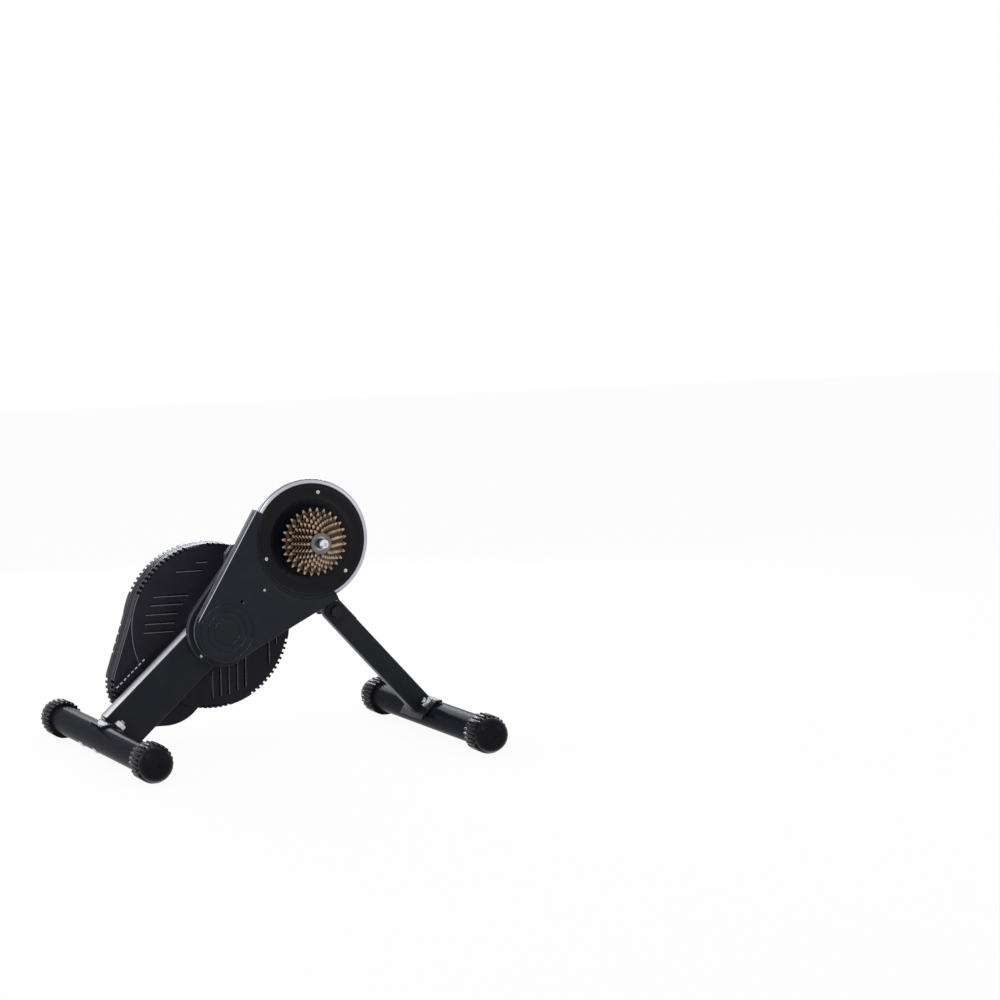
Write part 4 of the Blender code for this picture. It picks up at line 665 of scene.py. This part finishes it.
def make_port_block():
    """Block with a round inlet below and a row of pale fins in slots along its upper edge."""
    start, end, low, high, height = 0.1250, 0.1980, 0.0310, 0.0500, 0.0120
    face = CASE_NEAR + CASE_SHOULDER - GAP
    middle = face - height / 2
    ring = rounded_ring((end - start) / 2, (high - low) / 2, 0.0018)
    place = axes(beam_place(SHAFT, (start + end) / 2, (low + high) / 2, middle), (0, 1, 0), -UP_BEAM)
    rings = []
    for inset, depth in ((0.0010, -height / 2), (0.0003, -height / 2 + 0.0003), (0, -height / 2 + 0.0010),
                         (0, height / 2)):
        share_x = 1 - inset / ((end - start) / 2)
        share_y = 1 - inset / ((high - low) / 2)
        rings.append([(x * share_x, y * share_y, depth) for x, y in ring])
    block = loft("port_block_skin", rings, place)
    fin_count, first, pitch = 8, 0.1290, 0.0092
    slots, fins = [], []
    for i in range(fin_count):
        spot = beam_place(SHAFT, first + i * pitch, high - 0.0016, middle - height / 2 + 0.0012)
        turn = axes(spot, (0, 1, 0), -UP_BEAM)
        slots.append(((0.0070, 0.0050, 0.0040), turn))
        fins.append(((0.0054, 0.0016, 0.0034), axes(spot - Vector((0, 0.0006, 0)), (0, 1, 0), -UP_BEAM)))
    room = drill("block_disc_room", CASE_RADIUS + 0.0004, CASE_NEAR - PAST, CASE_NEAR + 2 * PAST,
                 round_y(SHAFT), 128)
    inlet_depth = 0.014
    inlet = drill("block_inlet_room", 0.0053, end - inlet_depth, end + 0.012,
                  axes(beam_place(SHAFT, 0, (low + high) / 2, middle), -UP_BEAM))
    cut(block, blocks("port_slots", slots), room, inlet)
    finish_piece(block, "stand", "case_plastic", ("port_block",))
    finish_piece(blocks("port_fins", fins), "stand", "machined_aluminium", bevel=0.0002, material=PALE_FIN_AND_PAINTED_HIGHLIGHT)


make_port_block()


# Belt cover and round cover

def two_circles(big, big_radius, small, small_radius, big_count=96, small_count=64):
    """The outline of two circles joined by their outer tangents."""
    way = small - big
    heading = math.atan2(way.z, way.x)
    spread = math.acos((big_radius - small_radius) / way.length)
    return (arc(big, big_radius, heading + spread, heading + math.tau - spread, big_count)
            + arc(small, small_radius, heading - spread, heading + spread, small_count))


def flange_outline(inset):
    return two_circles(AXLE, 0.1030 - inset, SHAFT, 0.0635 - inset)


def cover_outline(inset, inner):
    """The teardrop: round its lower end, along its right side, back round the bay and up to the corner."""
    end, top, corner_radius = 0.0545 - inset, 0.1130 - inset, 0.1192 - inset * 1.2
    turn_in = inset / inner
    corner_angle = math.radians(149.8) + turn_in
    corner = turn_point(AXLE, corner_radius, corner_angle)
    way = corner - SHAFT
    left = math.atan2(way.z, way.x) - math.asin(end / way.length) + math.pi / 2
    spread = math.acos((top - end) / SHAFT_DISTANCE)
    right_side = LEAN + math.pi + spread
    tail = math.radians(294) - turn_in
    points = [(corner.x, corner.z)]
    points += arc(SHAFT, end, left, right_side, 60)
    foot = turn_point(AXLE, top / math.cos(tail - right_side), tail)
    points.append((foot.x, foot.z))
    points += arc(AXLE, inner + inset, tail, corner_angle, 72)
    return points


# The cover's grooves by Y, its sunk rings by radius, and its holes as (X, Z, radius, depth)
COVER_GROOVES = (-0.0182, -0.0118)
COVER_RINGS = (0.0480, 0.0350, 0.0230)
COVER_HOLES = ((-0.0554, 0.2582, 0.0034, 0.0050), (-0.0139, 0.2760, 0.0032, 0.0018))


def make_belt_cover():
    """Slim teardrop cover: rounded edge, sloped bay wall round the axle, flange, rings and holes; its left
    side carries painted highlights and painted shade in the grooves.
    """
    bay_end = DISC_NEAR - GAP
    slope = (BAY_NEAR_RADIUS - BAY_FAR_RADIUS) / (bay_end - COVER_NEAR)

    def bay(y):
        return BAY_NEAR_RADIUS - slope * (y - COVER_NEAR)

    edge, wall = 0.0024, 0.003
    rings = [(inset, bay(y), y) for inset, y in rounded_edge(edge, COVER_NEAR)]
    for top in COVER_GROOVES:
        for inset, y in ((0.0, top), (0.0012, top + 0.0005), (0.0012, top + 0.0025), (0.0, top + 0.0030)):
            rings.append((inset, bay(y), y))
    rings += [(0, bay(bay_end), bay_end), (0, DISC_RIM + GAP, bay_end + 0.00002),
              (0, DISC_RIM + GAP, COVER_BACK)]
    cover = loft("belt_cover_skin",
                 [[(x, y, z) for x, z in cover_outline(inset, inner)] for inset, inner, y in rings])
    flange = side_loft("cover_flange", flange_outline,
                       [(0.0007, COVER_BACK - FLANGE_THICK), (0.0, COVER_BACK - FLANGE_THICK + 0.0007),
                        (0.0, COVER_BACK - 0.0001)])
    hollow = plate("cover_hollow", cover_outline(wall, BAY_NEAR_RADIUS), COVER_NEAR + wall,
                   COVER_BACK + 0.004)
    room = drill("cover_disc_room", DISC_RIM + GAP, bay_end, 0.03, round_y(AXLE), 128)
    join(cover, flange)
    cut(cover, hollow, room)
    above, depth = COVER_NEAR - 0.001, COVER_NEAR + 0.0007
    for i, radius in enumerate(COVER_RINGS):
        low, high = radius - 0.0005, radius + 0.0005
        cut(cover, turned(f"cover_ring_{i}", [(low, above), (high, above), (high, depth), (low, depth)],
                          round_y(SHAFT), 96, True))
    for i, (x, z, radius, depth) in enumerate(COVER_HOLES):
        cut(cover, drill(f"cover_hole_{i}", radius, above, COVER_NEAR + depth,
                         round_y(Vector((x, 0, z))), 24))
    finish_piece(cover, "stand", "cover_plastic", ("belt_cover",), angle=32)
    cover.data.materials.append(PAINTED_EDGE_HIGHLIGHT)
    cover.data.materials.append(PALE_FIN_AND_PAINTED_HIGHLIGHT)
    cover.data.materials.append(LOOKS["black_oxide"])
    # Painted light on the cover's left side: a highlight line on the near edge's rounding, a painted
    # highlight on the wall, and painted shade (black oxide) in the two grooves
    for face in cover.data.polygons:
        y = face.center.y
        if face.normal.x > -0.25 or abs(face.normal.y) > 0.98 or face.center.x > 0.0:
            continue
        if COVER_NEAR + 0.0003 < y < COVER_NEAR + edge * 0.8 and face.normal.z > 0.3:
            face.material_index = 2
        elif y > COVER_NEAR + edge * 0.5 and abs(face.normal.y) < 0.6:
            sunk = any(top + 0.0003 < y < top + 0.0027 for top in COVER_GROOVES)
            high = (face.center - SHAFT).dot(UP_BEAM) > 0.02
            face.material_index = 3 if sunk else 1 if y > -0.0090 or high else 0


def make_round_cover():
    """Round cover in two tones: a dark face with low ridges round a recess, and a rolled silver rim."""
    face = DISC_NEAR
    ridge_steps = ((0.0016, 0.0), (0.0008, 0.0004), (0.0, 0.0005), (-0.0008, 0.0004), (-0.0016, 0.0))
    profile = [(0.1006, face + 0.0060), (0.1006, face + 0.0004), (0.1002, face)]
    for ridge in (0.0940, 0.0740):
        profile += [(ridge + step, face - lift) for step, lift in ridge_steps]
    profile += [(0.0624, face), (0.0620, face + 0.0002), (0.0609, face + 0.0011), (0.0604, face + 0.0012),
                (0.0240, face + 0.0012), (0.0235, face + 0.0015), (0.0235, face + 0.0037),
                (0.0990, face + 0.0037)]
    skin = turned("pulley_cover_skin", profile, round_y(AXLE), 160, True)
    for degrees in DISC_SCREW_TURNS:
        place = round_y(turn_point(AXLE, DISC_SCREW_RADIUS, math.radians(degrees)))
        cut(skin, drill(f"disc_screw_sink_{degrees}", 0.0044, face - 0.001, face + SCREW_SINK, place, 32))
    finish_piece(skin, "stand", "disc_plastic", ("pulley_cover",), angle=30)
    rim = [(0.1009, face + 0.0035), (0.1009, face + 0.0006), (0.1016, face + 0.0001)]
    roll_start, roll_wide, roll_tall, roll_steps = 0.1020, 0.0070, 0.0092, 9
    for i in range(roll_steps):
        turn = math.pi / 2 * i / (roll_steps - 1)
        rim.append((roll_start + roll_wide * math.sin(turn), face + roll_tall - roll_tall * math.cos(turn)))
        if i == roll_steps // 2:
            rim += [(0.1064, face + 0.0044), (0.1070, face + 0.0056)]
    rim += [(DISC_RIM, face + 0.0104), (0.1085, face + 0.0108), (0.1080, face + 0.0112),
            (0.1074, face + 0.0120), (0.1070, DISC_BACK), (0.1045, DISC_BACK), (0.1045, face + 0.0060)]
    ring = turned("disc_rim", rim, round_y(AXLE), 160, True)
    cut(ring, side_loft("belt_mouth", flange_outline,
                        [(-0.0006, face + 0.0041), (-0.0006, DISC_BACK + 0.002)]))
    finish_piece(ring, "stand", "machined_aluminium", material=RIM_SILVER, angle=30)


def make_screw(name, place, radius, height):
    """A pan-head screw facing -Y with a cross recess; place is the middle of its seat."""
    head = [(0, height)]
    for i in range(1, 8):
        turn = math.pi / 2 * i / 7
        head.append((radius * math.sin(turn) ** 0.8, height * (0.25 + 0.75 * math.cos(turn))))
    head += [(radius, 0.0), (0, 0.0)]
    matrix = axes(place, (0, -1, 0), (0, 0, 1))
    screw = turned(name, head, matrix, 32)
    long, short = 2 * radius * 0.55, radius * 0.22
    for i, (wide, tall) in enumerate(((long, short), (short, long))):
        bar = (wide, tall, height), matrix @ Matrix.Translation((0, 0, height * 1.05))
        cut(screw, blocks(f"{name}_slot_{i}", [bar]))
    finish_piece(screw, "stand", "zinc", angle=35)


make_belt_cover()
make_round_cover()
for index, degrees in enumerate(DISC_SCREW_TURNS):
    spot = turn_point(AXLE, DISC_SCREW_RADIUS, math.radians(degrees))
    make_screw(f"disc_screw_{index}", (spot.x, DISC_NEAR + SCREW_SINK, spot.z), 0.0036, 0.0018)
make_screw("flange_screw", (-0.1252, COVER_BACK - FLANGE_THICK, 0.1657), 0.0028, 0.0014)
screw_x, screw_z, _, screw_depth = COVER_HOLES[-1]
make_screw("cover_screw", (screw_x, COVER_NEAR + screw_depth, screw_z), 0.0028, 0.0014)


# Leg, saddles, bolts and nuts

def leg_point(along, over):
    """World X and Z of a point along the leg from its pivot and over its middle line."""
    place = PIVOT + along * DOWN_LEG + over * OVER_LEG
    return place.x, place.z


def make_leg():
    length = (FRONT_FOOT - PIVOT).dot(DOWN_LEG) - SADDLE_OFFSET
    wall = 0.002

    def outline(inset, end=length):
        half = LEG_WIDTH / 2 - inset
        return ([leg_point(end, -half), leg_point(end, half)]
                + arc(PIVOT, half, LEG_ANGLE + math.pi / 2, LEG_ANGLE + 3 * math.pi / 2, 25))

    leg = side_loft("front_leg_skin", outline, both_edges(0.0030, LEG_NEAR, LEG_FAR))
    hollow = side_loft("leg_room", lambda inset: outline(wall + inset, length + 0.001),
                       [(0, LEG_NEAR + wall), (0, LEG_FAR - wall)])
    hole = drill("leg_pivot_hole", 0.0063, LEG_NEAR - PAST, LEG_FAR + PAST, round_y(PIVOT))
    stop = PIVOT + 0.030 * DOWN_LEG
    sweep = LEG_ANGLE + math.radians(60)
    slot = arc(PIVOT, 0.0353, LEG_ANGLE, sweep, 16) + arc(PIVOT, 0.0247, sweep, LEG_ANGLE, 16)
    slot += arc(stop, 0.0053, LEG_ANGLE + math.pi, LEG_ANGLE + math.tau, 15)[1:-1]
    notch = plate("leg_notch", slot, LEG_FAR - 0.0048, LEG_FAR + PAST)
    cut(leg, hollow, hole, notch)
    finish_piece(leg, "front_leg", "satin_black_paint", ("front_leg",), angle=50)


def bolt_rooms(prefix, centre, direction, middle, spacing):
    """The two cutters of a saddle's bolt holes."""
    rooms = []
    for side in (-1, 1):
        seat = axes((centre.x, middle + side * spacing / 2, centre.z), direction)
        rooms.append(drill(f"{prefix}_room_{side}", BOLT_HOLE, 0.02, 0.05, seat, 24))
    return rooms


def make_rear_saddle():
    """Flat plate under the beam that curves over the tube, with a hooked tongue on its near half."""
    outer, inner = SADDLE_OFFSET - GAP, SADDLE_OFFSET - GAP - SADDLE_PLATE
    flat = -ACROSS_BEAM * 0.046
    upper, lower = REAR_FOOT + outer * UP_BEAM + flat, REAR_FOOT + inner * UP_BEAM + flat
    near = BEAM_MIDDLE - REAR_SADDLE_WIDTH / 2
    over = math.radians(20)
    profile = [(lower.x, lower.z), (upper.x, upper.z)] + arc(REAR_FOOT, outer, LEAN, LEAN + over, 6)
    profile += arc(REAR_FOOT, inner, LEAN + over, LEAN, 6)
    saddle = plate("rear_saddle_skin", profile, near, near + REAR_SADDLE_WIDTH)
    hook_end, heading = math.radians(119.5), math.radians(147.5)
    root = arc(REAR_FOOT, outer, LEAN, hook_end, 22)
    along = outward(heading)
    tip = Vector((root[-1][0], 0, root[-1][1])) + 0.0197 * along
    below = tip + Vector((-along.z, 0, along.x)) * SADDLE_PLATE
    hook = plate("saddle_hook", root + [(tip.x, tip.z), (below.x, below.z)]
                 + arc(REAR_FOOT, inner, hook_end + math.radians(5), LEAN, 22), near + 0.0001, near + 0.060)
    bite = [(-0.3450, -0.0290), (-0.3338, -0.0265), (-0.3172, -0.0080), (-0.3040, 0.0290),
            (-0.3040, 0.0600), (-0.3450, 0.0600)]
    cut(hook, loft("hook_bite", [[(x, y, z) for x, y in bite] for z in (0.0, 0.1)]))
    far_spot = REAR_FOOT + 0.0290 * UP_BEAM + 0.0120 * ACROSS_BEAM + Vector((0, 0.0650, 0))
    far_bite = blocks("saddle_far_bite", [((0.012, 0.0680, 0.020), axes(far_spot, ACROSS_BEAM, UP_BEAM))])
    join(saddle, hook)
    cut(saddle, far_bite, *bolt_rooms("rear", REAR_FOOT, UP_BEAM, BEAM_MIDDLE, REAR_BOLT_SPACING))
    finish_piece(saddle, "stand", "satin_black_paint", ("rear_saddle",), bevel=0.0007, angle=40)


def make_front_saddle():
    """Bent plate between the leg and the tube; bends are (height from the tube's centre, place across)."""
    up = -DOWN_LEG
    side = Vector((up.z, 0, -up.x))
    outer, inner = SADDLE_OFFSET - GAP, SADDLE_OFFSET - GAP - SADDLE_PLATE
    bends = ((0.0223, 0.0216), (outer, 0.0130), (outer, -0.0200), (0.0258, -0.0310), (0.0223, -0.0290),
             (inner, -0.0190), (inner, 0.0110), (0.0193, 0.0186))
    profile = []
    for height, across in bends:
        spot = FRONT_FOOT + height * up + across * side
        profile.append((spot.x, spot.z))
    near = LEG_MIDDLE - FRONT_SADDLE_WIDTH / 2
    saddle = plate("front_saddle_skin", profile, near, near + FRONT_SADDLE_WIDTH)
    cut(saddle, *bolt_rooms("front", FRONT_FOOT, up, LEG_MIDDLE, FRONT_BOLT_SPACING))
    finish_piece(saddle, "front_leg", "satin_black_paint", ("front_saddle",), bevel=0.0010, segments=3,
                 angle=50)


def make_bolt(name, matrix, body, replaced):
    """A carriage bolt with a low domed head and a ridged thread."""
    radius, end, head = 0.0049, 0.0440, -TUBE_RADIUS - GAP
    profile = [(0, end), (0.0034, end), (0.0041, end - 0.0007)]
    thread_end, thread_root, thread_pitch = 0.028, 0.0043, 0.00125
    y = end - 0.0010
    while y > thread_end:
        profile += [(radius, y), (thread_root, y - 0.00060)]
        y -= thread_pitch
    profile += [(radius, y), (radius, head)]
    profile += [(0.0072, head), (0.0070, head - 0.0005), (0.0060, head - 0.0013), (0.0042, head - 0.0019),
                (0.0020, head - 0.0022), (0, head - 0.0022)]
    finish_piece(turned(name, profile, matrix, 28), body, "zinc", (replaced,), angle=50)


def make_nut(name, matrix, body, replaced):
    """A hexagon nut with chamfered corners."""
    flats, height, seat, steps = 0.017, 0.009, SADDLE_OFFSET, 48
    rings = []
    for rise, limit in ((0.0, 0.0089), (0.0006, 0.0099), (height - 0.0008, 0.0099),
                        (height - 0.0002, 0.0090), (height, 0.0084)):
        ring = []
        for i in range(steps):
            turn = math.tau * i / steps
            off = (turn + math.pi / 6) % (math.pi / 3) - math.pi / 6
            radius = min(flats / 2 / math.cos(off), limit)
            ring.append((radius * math.cos(turn), radius * math.sin(turn), seat + rise))
        rings.append(ring)
    nut = loft(name, rings, matrix)
    cut(nut, drill(f"{name}_bore", BOLT_HOLE, seat - 0.002, seat + 0.02, matrix, 28))
    finish_piece(nut, body, "zinc", (replaced,), angle=25)


make_leg()
make_rear_saddle()
make_front_saddle()
for place, foot, direction, middle, spacing, rider in (
        ("rear", REAR_FOOT, UP_BEAM, BEAM_MIDDLE, REAR_BOLT_SPACING, "stand"),
        ("front", FRONT_FOOT, -DOWN_LEG, LEG_MIDDLE, FRONT_BOLT_SPACING, "front_leg")):
    for label, side in (("near", -1), ("far", 1)):
        seat = axes((foot.x, middle + side * spacing / 2, foot.z), direction)
        make_bolt(f"{place}_bolt_{label}_skin", seat, rider, f"{place}_bolt_{label}")
        make_nut(f"{place}_nut_{label}_skin", seat, rider, f"{place}_nut_{label}")

# The belt case's back shell takes the painted highlight; the lockring and axle cap take dark steel
for node, look in (("lockring", DARK_STEEL), ("axle_end_cap", DARK_STEEL), ("belt_case_back", SHELL_PAINTED_HIGHLIGHT)):
    frame["nodes"][node].material_slots[0].material = look


# Light, floor and background

def lamp(name, place, aim, size, power, tone=(1, 1, 1)):
    """A rectangular lamp of a power in watts."""
    light = bpy.data.lights.new(name, "AREA")
    light.shape = "RECTANGLE"
    light.size, light.size_y = size
    light.energy = power
    light.color = tone
    holder = bpy.data.objects.new(name, light)
    bpy.context.scene.collection.objects.link(holder)
    holder.location = place
    holder.rotation_euler = (Vector(aim) - Vector(place)).to_track_quat("-Z", "Y").to_euler()


COOL_LIGHT = (0.89, 0.91, 1.0)
lamp("key_light", (-2.2, -1.2, 2.4), (0, 0, 0.2), (1.6, 1.2), 21, COOL_LIGHT)
lamp("fill_light", (2.4, -2.2, 1.4), (0, 0, 0.2), (1.8, 1.4), 10)
lamp("back_light", (0.60, 2.6, 1.05), (0.1, 0, 0.1), (1.4, 0.6), 27, COOL_LIGHT)
lamp("left_light", (-2.4, 1.4, 1.2), (0, 0, 0.2), (1.2, 1.4), 11, COOL_LIGHT)


def show_white(tree, output, share, shader, white):
    """Shows a share of plain white over a shader to camera, glossy and transmission rays."""
    path = tree.nodes.new("ShaderNodeLightPath").outputs
    seen = node_maths(tree, "MAXIMUM", path["Is Camera Ray"], path["Is Glossy Ray"])
    seen = node_maths(tree, "MAXIMUM", seen, path["Is Transmission Ray"])
    blend = tree.nodes.new("ShaderNodeMixShader")
    tree.links.new(node_maths(tree, "MULTIPLY", seen, share), blend.inputs["Fac"])
    tree.links.new(shader, blend.inputs[1])
    tree.links.new(white, blend.inputs[2])
    tree.links.new(blend.outputs["Shader"], tree.nodes[output].inputs["Surface"])


world = bpy.data.worlds.new("studio")
bpy.context.scene.world = world
world.use_nodes = True
sky = world.node_tree.nodes["Background"]
sky.inputs["Color"].default_value = (0.95, 0.97, 1.0, 1)
sky.inputs["Strength"].default_value = 0.62
white = world.node_tree.nodes.new("ShaderNodeBackground")
white.inputs["Color"].default_value = (1, 1, 1, 1)
white.inputs["Strength"].default_value = 0.992
show_white(world.node_tree, "World Output", 1.0, sky.outputs["Background"], white.outputs["Background"])

paper = bpy.data.materials.new("floor_white")
paper.use_nodes = True
matt = paper.node_tree.nodes["Principled BSDF"]
matt.inputs["Base Color"].default_value = (0.93, 0.93, 0.93, 1)
matt.inputs["Roughness"].default_value = 0.9
glow = paper.node_tree.nodes.new("ShaderNodeEmission")
glow.inputs["Color"].default_value = (1, 1, 1, 1)
glow.inputs["Strength"].default_value = 1.0
show_white(paper.node_tree, "Material Output", 0.94, matt.outputs["BSDF"], glow.outputs["Emission"])
FLOOR_HALF, FLOOR_DEPTH = 9, 0.02
square = [(x * FLOOR_HALF, y * FLOOR_HALF) for x, y in ((-1, -1), (1, -1), (1, 1), (-1, 1))]
floor = loft("floor", [[(x, y, z) for x, y in square] for z in (-FLOOR_DEPTH, 0)])
floor.data.materials.append(paper)

bpy.context.scene.view_settings.view_transform = "Standard"

for tool in cutters:
    bpy.data.objects.remove(tool, do_unlink=True)
